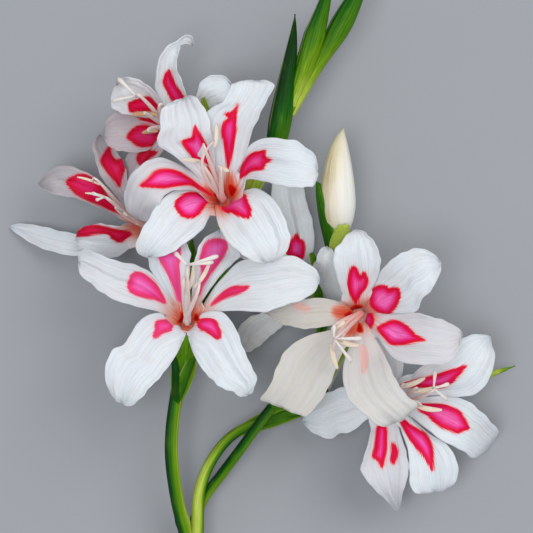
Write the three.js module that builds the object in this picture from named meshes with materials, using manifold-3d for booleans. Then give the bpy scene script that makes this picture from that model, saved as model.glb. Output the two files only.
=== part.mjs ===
// A cut gladiolus spray lying on a surface: three green stalks, seven open blooms, a cream bud and
// a green spike tip. Millimetres, +Z up, with the blooms facing up.
import * as THREE from 'three';
import { mergeVertices } from 'three/addons/utils/BufferGeometryUtils.js';
import Module from 'manifold-3d';

const wasm = await Module();
wasm.setup();

// Scale and frame: SHIFT puts the middle of the whole spray at the origin
const MM_PER_PIXEL = 0.4;
const PHOTO_MIDDLE = 266.5;
const EYE_HEIGHT = 900;
const SHIFT = new THREE.Vector3(2.9, 59.4, 0);

// Petals
const PETAL_THICKNESS = 0.8;
const PETAL_ROWS = 7;
const PETAL_COLUMNS = 3;
const BLADE_END = 0.985;
const PETAL_ROOT_HALF = 1.7;
const PETAL_ROOT_DEPTH = 2.5;
const PETAL_LEAD = 7;
const PETAL_ROOT_INSET = 0.48;
const WHORL_STEP = 1;
const LEAST_HALF = 0.8;
const ROW_EASE = 1.3;
const RISE_EASE = 1.9;
const CUP_START = 0.4;

// Flower tubes
const TUBE_FOOT_RADIUS = 1.7;
const TUBE_MOUTH_RADIUS = 4.0;
const TUBE_SIDES = 9;
const TUBE_RINGS = 5;
const TUBE_FLARE = 2.2;
const TUBE_FOOT_PULL = 0.35;
const TUBE_MOUTH_PULL = 0.45;
const THROAT_DEPTH = 6;
const THROAT_LIP = 0.5;
const THROAT_TOP_RADIUS = 2.9;
const THROAT_FLOOR_RADIUS = 2.0;

// Stamens and style
const COLUMN_RADIUS = 1.3;
const COLUMN_SIDES = 6;
const COLUMN_RISE = 1.5;
const THREAD_RADIUS = 0.5;
const THREAD_SIDES = 3;
const THREAD_RINGS = 4;
const THREAD_START = 1;
const THREAD_LEAD = 5;
const ANTHER_RADIUS = 1.0;
const ANTHER_SIDES = 4;
const ANTHER_RINGS = 3;
const ANTHER_END = 0.45;
const ANTHER_GRIP = 0.3;
const STIGMA_FOOT_RADIUS = 0.42;
const STIGMA_TIP_RADIUS = 0.75;
const STIGMA_SIDES = 4;
const STIGMA_STEP = 0.15;

// Stalks and bracts
const STALK_SIDES = 8;
const STALK_RINGS_PER_POINT = 1.5;
const BRACT_THICKNESS = 0.9;
const BRACT_ROWS = 5;
const BRACT_COLUMNS = 2;
const BUD_RINGS = 7;
const BUD_TIP_RADIUS = 0.4;

// The gap kept between pieces that lie against each other
const CLEARANCE = 0.35;

const PETAL_WHITE = 0xf3f2f4;
const STAMEN_CREAM = 0xf2e4d2;
const BUD_CREAM = 0xeae0c6;
const STALK_GREEN = 0x4d7a1d;

// A point given by its pixel in the photo's frame and its height above the surface
function at(column, row, height) {
  const scale = MM_PER_PIXEL * (1 - height / EYE_HEIGHT);
  return new THREE.Vector3(
    (column - PHOTO_MIDDLE) * scale,
    (PHOTO_MIDDLE - row) * scale,
    height,
  ).add(SHIFT);
}

function unit(x, y, z) {
  return new THREE.Vector3(x, y, z).normalize();
}

// Cubic Bezier curves, as four points
function along(path, t) {
  const s = 1 - t;
  return new THREE.Vector3()
    .addScaledVector(path[0], s * s * s)
    .addScaledVector(path[1], 3 * s * s * t)
    .addScaledVector(path[2], 3 * s * t * t)
    .addScaledVector(path[3], t * t * t);
}

function heading(path, t) {
  const step = 0.001;
  return along(path, t + step).sub(along(path, t - step)).normalize();
}

// The curve that leaves start by way of lead, passes middle half way and ends at end
function pathThrough(start, lead, middle, end) {
  const pull = middle.clone().multiplyScalar(8).sub(start).sub(end).addScaledVector(lead, -3);
  return [start, lead, pull.divideScalar(3), end];
}

function straightPath(start, end) {
  return [start, start.clone().lerp(end, 1 / 3), start.clone().lerp(end, 2 / 3), end];
}

// A side direction carried along a curve without twist, at even steps
const CARRY_STEPS = 32;

function carriedSides(path, side) {
  const sides = [];
  let current = side.clone();
  for (let i = 0; i <= CARRY_STEPS; i += 1) {
    const forward = heading(path, i / CARRY_STEPS);
    current = current.clone().addScaledVector(forward, -current.dot(forward)).normalize();
    sides.push(current);
  }
  return sides;
}

function sideAt(blade, t) {
  const place = Math.min(Math.max(t, 0), 1) * CARRY_STEPS;
  const low = Math.min(Math.floor(place), CARRY_STEPS - 1);
  const forward = heading(blade.path, t);
  const side = blade.sides[low].clone().lerp(blade.sides[low + 1], place - low);
  return side.addScaledVector(forward, -side.dot(forward)).normalize();
}

// Half the width of a blade: a narrow foot, the widest place, then a blunt or pointed end
function halfWidth(blade, t) {
  const rise = Math.sin((Math.PI / 2) * Math.min(Math.max(t, 0) / blade.widest, 1)) ** RISE_EASE;
  const body = blade.rootHalf + (blade.half - blade.rootHalf) * rise;
  const over = Math.min(Math.max((t - blade.widest) / (1 - blade.widest), 0), 1);
  const closing = (1 - over ** (1.2 + 2.8 * blade.blunt)) ** (1 - 0.5 * blade.blunt);
  return Math.max(body * closing, LEAST_HALF);
}

function bladePoint(blade, t, across, grow) {
  const forward = heading(blade.path, t);
  const side = sideAt(blade, t);
  const face = forward.clone().cross(side);
  const turn = THREE.MathUtils.degToRad(blade.roll) * Math.max(t, 0);
  const sideways = side.clone().multiplyScalar(Math.cos(turn)).addScaledVector(face, Math.sin(turn));
  const outward = face.clone().multiplyScalar(Math.cos(turn)).addScaledVector(side, -Math.sin(turn));
  const rise = Math.min(Math.max(t, 0) / CUP_START, 1);
  const phase = blade.phase + (across < 0 ? 1.9 : 0);
  const wave = Math.sin(2 * Math.PI * blade.waves * t + phase) * blade.ruffle * Math.max(t, 0) ** 2;
  const lift = (blade.cup * rise + wave) * across * across;
  return along(blade.path, t)
    .addScaledVector(sideways, across * (halfWidth(blade, t) + grow))
    .addScaledVector(outward, lift);
}

// A blade as a closed solid: two faces and a rim, split into triangles alike on both faces
function bladeGeometry(blade, grow) {
  const rows = blade.rows;
  const columns = blade.columns;
  const halfThickness = blade.thickness / 2 + grow;
  const reach = blade.end + grow / blade.path[0].distanceTo(blade.path[3]);
  const points = [];
  for (const face of [1, -1]) {
    for (let i = 0; i <= rows; i += 1) {
      const t = (1 - (1 - i / rows) ** ROW_EASE) * reach;
      for (let j = 0; j <= columns; j += 1) {
        const across = (2 * j) / columns - 1;
        const step = 0.01;
        const lengthwise = bladePoint(blade, t + step, across, grow)
          .sub(bladePoint(blade, t - step, across, grow));
        const crosswise = bladePoint(blade, t, across + step, grow)
          .sub(bladePoint(blade, t, across - step, grow));
        const normal = lengthwise.cross(crosswise).normalize();
        points.push(bladePoint(blade, t, across, grow).addScaledVector(normal, face * halfThickness));
      }
    }
  }
  const index = (face, i, j) => face * (rows + 1) * (columns + 1) + i * (columns + 1) + j;
  const triangles = [];
  for (let i = 0; i < rows; i += 1) {
    for (let j = 0; j < columns; j += 1) {
      const corners = [[i, j], [i + 1, j], [i + 1, j + 1], [i, j + 1]];
      const [a, b, c, d] = corners.map(([row, column]) => index(0, row, column));
      const [e, f, g, h] = corners.map(([row, column]) => index(1, row, column));
      triangles.push([a, b, c], [a, c, d], [e, g, f], [e, h, g]);
    }
  }
  const rim = [];
  for (let i = 0; i < rows; i += 1) rim.push([i, 0]);
  for (let j = 0; j < columns; j += 1) rim.push([rows, j]);
  for (let i = rows; i > 0; i -= 1) rim.push([i, columns]);
  for (let j = columns; j > 0; j -= 1) rim.push([0, j]);
  rim.forEach(([row, column], k) => {
    const [nextRow, nextColumn] = rim[(k + 1) % rim.length];
    const a = index(0, row, column);
    const b = index(0, nextRow, nextColumn);
    const c = index(1, nextRow, nextColumn);
    const d = index(1, row, column);
    triangles.push([a, c, b], [a, d, c]);
  });
  return closedGeometry(points, triangles);
}

// A round body along a curve, its radius given by a rule, its ends flat
function roundGeometry(path, radius, sides, rings, grow) {
  const points = [];
  const guide = Math.abs(heading(path, 0).z) > 0.9 ? unit(0, 1, 0) : unit(0, 0, 1);
  const carried = { path, sides: carriedSides(path, guide) };
  const stretch = grow / path[0].distanceTo(path[3]);
  for (let i = 0; i <= rings; i += 1) {
    const t = i / rings;
    const placed = t * (1 + 2 * stretch) - stretch;
    const centre = along(path, placed);
    const side = sideAt(carried, placed);
    const other = heading(path, placed).cross(side);
    for (let j = 0; j < sides; j += 1) {
      const angle = (2 * Math.PI * j) / sides;
      const spread = radius(t) + grow;
      points.push(centre.clone()
        .addScaledVector(side, Math.cos(angle) * spread)
        .addScaledVector(other, Math.sin(angle) * spread));
    }
  }
  const first = points.length;
  points.push(along(path, -stretch), along(path, 1 + stretch));
  const triangles = [];
  for (let j = 0; j < sides; j += 1) {
    const next = (j + 1) % sides;
    for (let i = 0; i < rings; i += 1) {
      const a = i * sides + j;
      const b = i * sides + next;
      triangles.push([a, b, b + sides], [a, b + sides, a + sides]);
    }
    triangles.push([first, next, j], [first + 1, rings * sides + j, rings * sides + next]);
  }
  return closedGeometry(points, triangles);
}

// A closed mesh with its faces pointing out
function closedGeometry(points, triangles) {
  let volume = 0;
  for (const [a, b, c] of triangles) {
    volume += points[a].dot(points[b].clone().cross(points[c]));
  }
  const facing = volume > 0 ? triangles : triangles.map(([a, b, c]) => [a, c, b]);
  const geometry = new THREE.BufferGeometry();
  geometry.setAttribute('position', new THREE.Float32BufferAttribute(
    points.flatMap((point) => point.toArray()), 3));
  geometry.setIndex(facing.flat());
  return geometry;
}

// Solids for joins and cuts
function solidOf(geometry) {
  const bare = geometry.clone();
  bare.deleteAttribute('normal');
  bare.deleteAttribute('uv');
  const merged = mergeVertices(bare, 0.0001);
  return new wasm.Manifold(new wasm.Mesh({
    numProp: 3,
    vertProperties: new Float32Array(merged.attributes.position.array),
    triVerts: new Uint32Array(merged.index.array),
  }));
}

function joined(solids) {
  return solids.reduce((whole, solid) => whole.add(solid));
}

// The largest body of a solid: what a cut leaves loose is dropped
function largestBody(solid) {
  const bodies = solid.decompose();
  return bodies.reduce((best, body) => (body.volume() > best.volume() ? body : best));
}

function meet(first, second) {
  const a = first.boundingBox();
  const b = second.boundingBox();
  return [0, 1, 2].every((axis) => a.min[axis] < b.max[axis] && b.min[axis] < a.max[axis]);
}

function clearOf(solid, others) {
  return others.filter((other) => meet(solid, other))
    .reduce((left, other) => left.subtract(other), solid);
}

// Petals and tubes

const PETAL_SHAPE = {
  half: 9, widest: 0.62, blunt: 0.75, cup: 1.2, ruffle: 0.9, waves: 2.2, phase: 0, roll: 0,
  lead: PETAL_LEAD,
};

// Petals are listed round the throat: every other one belongs to the inner whorl, which parts higher up
function petalBlade(bloom, petal, order) {
  const shape = { ...PETAL_SHAPE, ...petal };
  const whorl = (order % 2 === 0 ? 1 : -1) * WHORL_STEP;
  const throat = at(...bloom.throat);
  const facing = unit(...bloom.facing);
  const belly = at(...petal.belly);
  const tip = at(...petal.tip);
  const spread = belly.clone().lerp(tip, 0.5).sub(throat);
  const outward = spread.addScaledVector(facing, -spread.dot(facing)).normalize();
  const depth = PETAL_ROOT_DEPTH - whorl;
  const place = 1 - depth / at(...bloom.seat).distanceTo(throat);
  const root = along(tubePath(bloom), place)
    .addScaledVector(outward, tubeRadius(place) - PETAL_ROOT_INSET);
  const lead = root.clone().addScaledVector(facing, shape.lead + whorl).addScaledVector(outward, 1);
  const path = pathThrough(root, lead, belly, tip);
  return {
    ...shape,
    path,
    sides: carriedSides(path, facing.clone().cross(outward)),
    rootHalf: PETAL_ROOT_HALF,
    thickness: PETAL_THICKNESS,
    rows: petal.rows ?? bloom.rows ?? PETAL_ROWS,
    columns: PETAL_COLUMNS,
    end: BLADE_END,
  };
}

function tubePath(bloom) {
  const seat = at(...bloom.seat);
  const throat = at(...bloom.throat);
  const length = seat.distanceTo(throat);
  return [
    seat,
    seat.clone().addScaledVector(unit(...bloom.leaving), length * TUBE_FOOT_PULL),
    throat.clone().addScaledVector(unit(...bloom.facing), -length * TUBE_MOUTH_PULL),
    throat,
  ];
}

function tubeRadius(t) {
  return TUBE_FOOT_RADIUS + (TUBE_MOUTH_RADIUS - TUBE_FOOT_RADIUS) * t ** TUBE_FLARE;
}

function throatHollow(bloom) {
  const throat = at(...bloom.throat);
  const facing = unit(...bloom.facing);
  const floor = throat.clone().addScaledVector(facing, -THROAT_DEPTH);
  const top = throat.clone().addScaledVector(facing, THROAT_LIP);
  const radius = (t) => THROAT_FLOOR_RADIUS + (THROAT_TOP_RADIUS - THROAT_FLOOR_RADIUS) * t;
  return solidOf(roundGeometry(straightPath(floor, top), radius, TUBE_SIDES, 1, 0));
}

function perianth(bloom, grow) {
  const tube = solidOf(roundGeometry(tubePath(bloom), tubeRadius, TUBE_SIDES, TUBE_RINGS, grow));
  const petals = bloom.petals.map((petal, order) => (
    solidOf(bladeGeometry(petalBlade(bloom, petal, order), grow))));
  return joined([tube, ...petals]);
}

// Stamens and style: one column in the throat that parts into filaments

function antherSolid(from, to) {
  const swell = (t) => ANTHER_END + (1 - ANTHER_END) * Math.sin(Math.PI * Math.min(t + 0.1, 1));
  const radius = (t) => ANTHER_RADIUS * swell(t);
  return solidOf(roundGeometry(straightPath(from, to), radius, ANTHER_SIDES, ANTHER_RINGS, 0));
}

function threadSolid(path) {
  return solidOf(roundGeometry(path, () => THREAD_RADIUS, THREAD_SIDES, THREAD_RINGS, 0));
}

function stamens(bloom) {
  const throat = at(...bloom.throat);
  const facing = unit(...bloom.facing);
  const foot = throat.clone().addScaledVector(facing, -THROAT_DEPTH + CLEARANCE);
  const top = throat.clone().addScaledVector(facing, COLUMN_RISE);
  const aside = facing.clone().cross(unit(1, 0, 0)).normalize();
  const rising = (order) => {
    const lean = aside.clone().applyAxisAngle(facing, (Math.PI / 2) * order);
    const start = throat.clone().addScaledVector(facing, THREAD_START)
      .addScaledVector(lean, COLUMN_RADIUS - THREAD_RADIUS);
    return [start, start.clone().addScaledVector(facing, THREAD_LEAD)];
  };
  const column = solidOf(
    roundGeometry(straightPath(foot, top), () => COLUMN_RADIUS, COLUMN_SIDES, 1, 0));
  const threads = bloom.filaments.flatMap((filament, order) => {
    const [middle, from, to] = filament.map((point) => at(...point));
    const grip = from.clone().lerp(to, ANTHER_GRIP);
    return [threadSolid(pathThrough(...rising(order), middle, grip)), antherSolid(from, to)];
  });
  const [bend, fork, ...ends] = bloom.style.map((point) => at(...point));
  const stylePath = pathThrough(...rising(3), bend, fork);
  const lastBend = along(stylePath, 1 - 1 / THREAD_RINGS);
  const branchRadius = (t) => STIGMA_FOOT_RADIUS + (STIGMA_TIP_RADIUS - STIGMA_FOOT_RADIUS) * t;
  const branches = ends.map((end, order) => {
    const branchFoot = lastBend.clone().lerp(fork, 0.92 - STIGMA_STEP * order);
    return solidOf(roundGeometry(straightPath(branchFoot, end), branchRadius, STIGMA_SIDES, 1, 0));
  });
  return joined([column, ...threads, threadSolid(stylePath), ...branches]);
}

// Stalks: smooth curves through points, each with its radius at both ends

function stalkSolid(stalk, grow) {
  const curve = new THREE.CatmullRomCurve3(stalk.points.map((point) => at(...point)), false, 'centripetal');
  const rings = Math.round(stalk.points.length * STALK_RINGS_PER_POINT);
  const points = [];
  let side = unit(0, 0, 1);
  for (let i = 0; i <= rings; i += 1) {
    const t = i / rings;
    const forward = curve.getTangent(t);
    side = side.clone().addScaledVector(forward, -side.dot(forward)).normalize();
    const other = forward.clone().cross(side);
    const spread = stalk.foot + (stalk.top - stalk.foot) * t + grow;
    for (let j = 0; j < STALK_SIDES; j += 1) {
      const angle = (2 * Math.PI * (j + 0.5)) / STALK_SIDES;
      points.push(curve.getPoint(t)
        .addScaledVector(side, Math.cos(angle) * spread)
        .addScaledVector(other, Math.sin(angle) * spread));
    }
  }
  const caps = points.length;
  points.push(curve.getPoint(0), curve.getPoint(1));
  const triangles = [];
  for (let j = 0; j < STALK_SIDES; j += 1) {
    const next = (j + 1) % STALK_SIDES;
    for (let i = 0; i < rings; i += 1) {
      const a = i * STALK_SIDES + j;
      const b = i * STALK_SIDES + next;
      triangles.push([a, b, b + STALK_SIDES], [a, b + STALK_SIDES, a + STALK_SIDES]);
    }
    const last = rings * STALK_SIDES;
    triangles.push([caps, next, j], [caps + 1, last + j, last + next]);
  }
  return solidOf(closedGeometry(points, triangles));
}

// A bract is a blade that leaves the stalk and wraps away from its outward side
function bractSolid(bract) {
  const root = at(...bract.root);
  const belly = at(...bract.belly);
  const tip = at(...bract.tip);
  const outward = unit(...(bract.outward ?? [0, 0, 1]));
  const lead = root.clone().lerp(belly, 0.5);
  const path = pathThrough(root, lead, belly, tip);
  const forward = heading(path, 0);
  const blade = {
    widest: 0.45, blunt: 0.1, cup: -2.2, ruffle: 0, waves: 1, phase: 0, roll: 0, rootHalf: 2,
    ...bract,
    path,
    sides: carriedSides(path, outward.clone().cross(forward).normalize()),
    thickness: BRACT_THICKNESS,
    rows: BRACT_ROWS,
    columns: BRACT_COLUMNS,
    end: BLADE_END,
  };
  return solidOf(bladeGeometry(blade, 0));
}

// A closed bud: a spindle along its curve
function budSolid(bud, grow) {
  const foot = at(...bud.foot);
  const middle = at(...bud.middle);
  const tip = at(...bud.tip);
  const path = pathThrough(foot, foot.clone().lerp(middle, 0.5), middle, tip);
  return solidOf(roundGeometry(path, (t) => budRadius(bud, t), bud.sides, BUD_RINGS, grow));
}

function budRadius(bud, t) {
  if (t < bud.widest) {
    return bud.footRadius + (bud.radius - bud.footRadius) * Math.sin((Math.PI / 2) * (t / bud.widest));
  }
  const over = (t - bud.widest) / (1 - bud.widest);
  return Math.max(bud.radius * (1 - over ** bud.taper), BUD_TIP_RADIUS);
}

// The blooms. Points are [column, row, height]; directions are [x, y, z]. Each petal runs from the
// throat over its belly to its tip. A filament is a bend and the two ends of its anther, and a style
// is a bend, its fork and the ends of its branches.
const BLOOMS = {
  centre: {
    seat: [234, 238, 26], leaving: [0.1, 0.5, 0.8], throat: [222, 198, 42], facing: [-0.1, 0.1, 1],
    petals: [
      { belly: [272, 166, 53], tip: [307, 172, 51], half: 8.9, blunt: 1, phase: 0.4 },
      { belly: [254, 215, 53], tip: [270, 262, 49], half: 12.4, blunt: 0.9, widest: 0.55, phase: 2 },
      { belly: [177, 212, 53], tip: [141, 250, 49], half: 8.9, blunt: 0.8, phase: 1 },
      { belly: [152, 178, 55], tip: [139, 219, 37], half: 7.6, blunt: 0.7, phase: 0 },
      { belly: [187, 142, 53], tip: [177, 101, 49], half: 10.2, blunt: 0.9, ruffle: 1.8, waves: 3 },
      { belly: [233, 131, 53], tip: [254, 84, 49], half: 9.4, blunt: 0.95, phase: 3 },
    ],
    filaments: [
      [[206, 178, 60], [214, 148, 60], [216, 124, 58]],
      [[212, 186, 58], [205, 168, 61], [192, 160, 61]],
      [[223, 183, 57], [222, 170, 60], [229, 160, 60]],
    ],
    style: [[210, 172, 64], [201, 158, 65], [199, 148, 65], [204, 146, 64], [196, 152, 66]],
  },
  lower_left: {
    seat: [177, 396, 27], leaving: [0.1, 1, 0.25], throat: [187, 320, 37], facing: [0, 0.25, 1],
    petals: [
      { belly: [126, 284, 44], tip: [80, 264, 41], half: 7.3, blunt: 0.85, phase: 0.5 },
      { belly: [170, 278, 41], tip: [163, 246, 37], half: 7.6, blunt: 0.7, phase: 2 },
      { belly: [213, 266, 41], tip: [221, 232, 36], half: 8.2, blunt: 0.7, phase: 1 },
      { belly: [260, 286, 45], tip: [315, 284, 42], half: 10.2, blunt: 0.5, widest: 0.6 },
      { belly: [219, 354, 44], tip: [243, 396, 40], half: 9.2, blunt: 0.8, phase: 2 },
      { belly: [146, 355, 44], tip: [126, 405, 39], half: 10.3, blunt: 0.85, phase: 3 },
    ],
    filaments: [
      [[188, 297, 52], [189, 290, 52], [200, 262, 52]],
      [[183, 290, 50], [192, 284, 50], [196, 258, 50]],
      [[196, 298, 51], [199, 282, 52], [214, 262, 52]],
    ],
    style: [[184, 289, 55], [191, 263, 56], [203, 260, 57], [212, 258, 57]],
  },
  right: {
    seat: [322, 399, 13], leaving: [0.3, 0.9, 0.4], throat: [360, 314, 38], facing: [-0.15, -0.05, 1],
    petals: [
      { belly: [358, 268, 48], tip: [357, 231, 45], half: 9, blunt: 0.85, phase: 1 },
      { belly: [402, 284, 49], tip: [434, 265, 46], half: 9.6, blunt: 0.95, phase: 2 },
      { belly: [415, 338, 49], tip: [460, 346, 46], half: 9.7, blunt: 0.95, phase: 0 },
      { belly: [370, 376, 52], tip: [396, 421, 46], half: 10.9, blunt: 0.9, phase: 3 },
      { belly: [308, 367, 43], tip: [282, 410, 36], half: 11.2, blunt: 0.95, phase: 2 },
      { belly: [306, 311, 37], tip: [264, 313, 31], half: 6.8, blunt: 0.6, phase: 1 },
    ],
    filaments: [
      [[345, 324, 50], [334, 332, 52], [337, 368, 51]],
      [[344, 320, 49], [331, 327, 51], [345, 321, 52]],
      [[348, 328, 51], [341, 341, 53], [360, 346, 54]],
    ],
    style: [[348, 330, 56], [336, 350, 57], [344, 358, 57], [352, 362, 57]],
  },
  lower_right: {
    seat: [352, 400, 11], leaving: [1, 0.1, 0.15], throat: [396, 402, 19], facing: [0.35, -0.2, 0.9],
    petals: [
      { belly: [444, 377, 31], tip: [489, 353, 24], half: 10, blunt: 0.95, phase: 1 },
      { belly: [451, 419, 28], tip: [490, 444, -2], half: 8.8, blunt: 0.95, phase: 2 },
      { belly: [424, 451, 27], tip: [436, 491, 17], half: 9, blunt: 0.95, phase: 0 },
      { belly: [384, 455, 27], tip: [397, 511, 14], half: 8.8, blunt: 0.15, widest: 0.5, phase: 3 },
      { belly: [350, 409, 23], tip: [315, 428, 13], half: 9.6, blunt: 0.85, phase: 2 },
      { belly: [386, 366, 26], tip: [378, 340, 20], half: 7.5, blunt: 0.7, phase: 1 },
    ],
    filaments: [
      [[408, 393, 34], [410, 387, 36], [428, 384, 37]],
      [[410, 396, 32], [416, 394, 34], [438, 390, 36]],
      [[412, 402, 33], [418, 406, 34], [446, 412, 36]],
    ],
    style: [[422, 398, 38], [434, 389, 40], [437, 374, 41], [452, 385, 40], [446, 396, 40]],
  },
  top_left: {
    seat: [246, 202, 27], leaving: [-0.5, 0.7, 0], throat: [168, 128, 24], facing: [-0.5, 0.35, 0.8],
    petals: [
      { belly: [169, 76, 34], tip: [191, 41, 30], half: 6.2, blunt: 0.3, widest: 0.4, roll: 20 },
      { belly: [139, 99, 34], tip: [115, 89, 28], half: 7.4, blunt: 0.85, phase: 1 },
      { belly: [130, 134, 29], tip: [104, 138, 24], half: 8, blunt: 0.85, phase: 2 },
      { belly: [143, 160, 24], tip: [131, 184, 15], half: 6.5, blunt: 0.7, phase: 0 },
      { belly: [190, 150, 26], tip: [192, 176, 19], half: 6.5, blunt: 0.7, phase: 2 },
      { belly: [198, 102, 33], tip: [222, 82, 30], half: 6.2, blunt: 1, widest: 0.75, phase: 1 },
    ],
    filaments: [
      [[150, 116, 40], [158, 115, 39], [132, 115, 40]],
      [[152, 128, 35], [158, 131, 35], [142, 133, 35]],
      [[160, 112, 38], [163, 106, 38], [170, 110, 38]],
    ],
    style: [[150, 106, 42], [136, 97, 44], [118, 78, 45], [124, 100, 44], [112, 101, 44]],
  },
  left: {
    seat: [203, 300, 25], leaving: [-0.4, 0.7, -0.2], throat: [140, 224, 18], facing: [-0.6, 0.1, 0.8],
    petals: [
      { belly: [113, 178, 23], tip: [100, 139, 12], half: 6.6, blunt: 0.6, phase: 1 },
      { belly: [88, 194, 26], tip: [42, 182, 19], half: 6.8, blunt: 0.4, phase: 2 },
      { belly: [72, 244, 13], tip: [10, 229, -0.9], half: 5, blunt: 0.2, widest: 0.5, phase: 0 },
      { belly: [107, 243, 21], tip: [82, 254, 16], half: 6.8, blunt: 0.9, phase: 2 },
      { belly: [158, 240, 15], tip: [168, 256, 10], half: 6.5, blunt: 0.7, phase: 1 },
      { belly: [150, 192, 15], tip: [156, 168, 9], half: 6.5, blunt: 0.7, phase: 3 },
    ],
    filaments: [
      [[116, 206, 32], [112, 204, 33], [86, 193, 34]],
      [[120, 212, 31], [122, 210, 32], [128, 216, 33]],
      [[114, 196, 31], [100, 186, 33], [84, 180, 34]],
    ],
    style: [[120, 208, 35], [104, 198, 37], [92, 193, 38], [96, 200, 38]],
  },
  behind: {
    rows: 5,
    seat: [322, 332, 17], leaving: [-0.2, 0.9, 0], throat: [301, 286, 12], facing: [-0.15, 0.25, 0.9],
    petals: [
      { belly: [291, 232, 22], tip: [286, 168, -2.2], half: 9.6, blunt: 0.8, phase: 1 },
      { belly: [329, 280, 19], tip: [327, 247, 20], half: 5.6, blunt: 0.6, phase: 2 },
      { belly: [322, 300, 10], tip: [340, 312, 5], half: 6, blunt: 0.7, phase: 1 },
      { belly: [266, 325, 12], tip: [238, 345, 5], half: 7.6, blunt: 0.8, phase: 2 },
      { belly: [262, 280, 13], tip: [236, 284, 7], half: 7, blunt: 0.7, phase: 3 },
      { belly: [270, 260, 14], tip: [246, 240, 8], half: 7, blunt: 0.7, phase: 0 },
    ],
    filaments: [
      [[296, 270, 24], [295, 264, 25], [292, 244, 26]],
      [[292, 276, 23], [288, 272, 24], [276, 258, 24]],
      [[302, 274, 23], [302, 268, 24], [306, 250, 25]],
    ],
    style: [[296, 269, 27], [291, 253, 28], [284, 244, 28], [294, 241, 29]],
  },
};

// The three stalks, with their radii at the foot and at the top
const STALKS = {
  main: {
    points: [
      [166, 862, 2.6], [172, 760, 4.5], [182, 660, 8], [190, 580, 13], [185, 533, 17], [176, 500, 20],
      [170.5, 450, 24], [176, 400, 26], [190, 345, 26], [208, 300, 25], [225, 262, 25], [240, 222, 26],
      [255, 182, 27], [277, 138, 29], [291, 105, 31],
    ],
    foot: 2.9, top: 2.1,
  },
  right: {
    points: [
      [191, 590, 12.5], [197, 533, 16.5], [200, 490, 17], [212, 460, 16.5], [232, 436, 15], [262, 421, 13],
      [300, 412, 11.5], [345, 403, 9], [400, 390, 5], [450, 380, 6], [492, 374, 9],
    ],
    foot: 2.7, top: 0.9,
  },
  bud: {
    points: [
      [188, 600, 11], [192, 533, 10], [203, 500, 11.5], [222, 474, 15], [240, 450, 19], [262, 420, 21.5],
      [282, 394, 21], [303, 364, 19], [322, 330, 17.5], [331, 290, 15], [334, 252, 19],
    ],
    foot: 2.2, top: 1.7,
  },
};

// Bracts: the green blades at the foot of each bloom and bud
const BRACTS = [
  { root: [174.5, 414, 26.5], belly: [183, 368, 34], tip: [184, 337, 36], half: 4.8, outward: [-0.2, 0, 1] },
  { root: [175.5, 412, 26], belly: [190, 372, 30], tip: [196, 352, 32], half: 4.2, outward: [0.7, 0, 0.7] },
  { root: [201, 318, 26], belly: [193, 272, 26], tip: [193, 240, 26], half: 3, outward: [0, 0, 1] },
  { root: [228, 256, 26], belly: [228, 222, 33], tip: [230, 206, 38], half: 4, outward: [0.8, 0, 0.6] },
  { root: [242, 216, 27], belly: [224, 152, 31], tip: [206, 99, 28], half: 3, outward: [0.6, 0, 0.8] },
  { root: [246, 206, 27], belly: [262, 170, 32], tip: [264, 152, 35], half: 4, outward: [0.4, 0, 1] },
  { root: [270, 411, 21.5], belly: [286, 396, 29], tip: [302, 372, 30], half: 4.6, outward: [0, 0, 1] },
  { root: [308, 411, 12], belly: [334, 372, 22], tip: [346, 344, 29], half: 4.2, outward: [-0.3, 0, 1] },
  { root: [338, 405, 10], belly: [370, 404, 17], tip: [384, 404, 20], half: 3.6, outward: [0, -0.6, 0.8] },
  { root: [313, 349, 19], belly: [317, 294, 20], tip: [312, 252, 22], half: 4.2, outward: [0.8, 0, 0.6] },
];

// Closed buds, green where they are bracts still folded round a bud
const TIP_BUDS = [
  { foot: [275, 142, 29], middle: [285, 74, 32], tip: [294, 15, 34], radius: 3.3, widest: 0.25 },
  { foot: [288, 110, 31], middle: [307, 48, 33], tip: [335, -42, 34], radius: 3.5, widest: 0.42 },
  { foot: [296, 96, 31], middle: [335, 36, 32], tip: [368, -38, 32], radius: 4.2, widest: 0.62 },
  { foot: [488, 375, 9], middle: [500, 371, 9], tip: [515, 366, 9], radius: 1.1, widest: 0.3 },
].map((bud) => ({ footRadius: 1.7, taper: 1.5, sides: 7, ...bud }));

const CREAM_BUD = {
  foot: [336, 244, 22], middle: [338, 186, 27], tip: [343, 129, 24],
  footRadius: 2.4, radius: 7, widest: 0.4, taper: 2, sides: 12,
};

const BUD_BRACTS = [
  { root: [332, 266, 18.5], belly: [321.5, 221, 28], tip: [317, 182, 29], half: 4.4, outward: [-8, 0, 6] },
  { root: [333, 266, 17.5], belly: [342, 240, 29.5], tip: [345, 224, 32.6], half: 3.8, outward: [0.3, 0, 1] },
];

// The surface under the spray: what would reach below it is cut off flat
function surfaceBlock() {
  const size = 1000;
  const box = new THREE.BoxGeometry(size, size, size);
  box.translate(0, 0, -size / 2);
  return solidOf(box);
}

// Assembly: what lies in front is made first, and what lies behind is cut clear of it

const surface = surfaceBlock();
const stalks = joined(Object.values(STALKS).map((stalk) => stalkSolid(stalk, 0)));
const tipBuds = joined(TIP_BUDS.map((bud) => budSolid(bud, 0)));
const keepClear = [
  joined(Object.values(STALKS).map((stalk) => stalkSolid(stalk, CLEARANCE))),
  joined(TIP_BUDS.map((bud) => budSolid(bud, CLEARANCE))),
];

const spray = new THREE.Group();

function addPart(name, solid, colour, roughness) {
  const mesh = solid.getMesh();
  const geometry = new THREE.BufferGeometry();
  geometry.setAttribute('position', new THREE.BufferAttribute(mesh.vertProperties, 3));
  geometry.setIndex(new THREE.BufferAttribute(mesh.triVerts, 1));
  const material = new THREE.MeshStandardMaterial({ color: colour, roughness, metalness: 0 });
  const part = new THREE.Mesh(geometry, material);
  part.name = name;
  spray.add(part);
}

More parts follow.
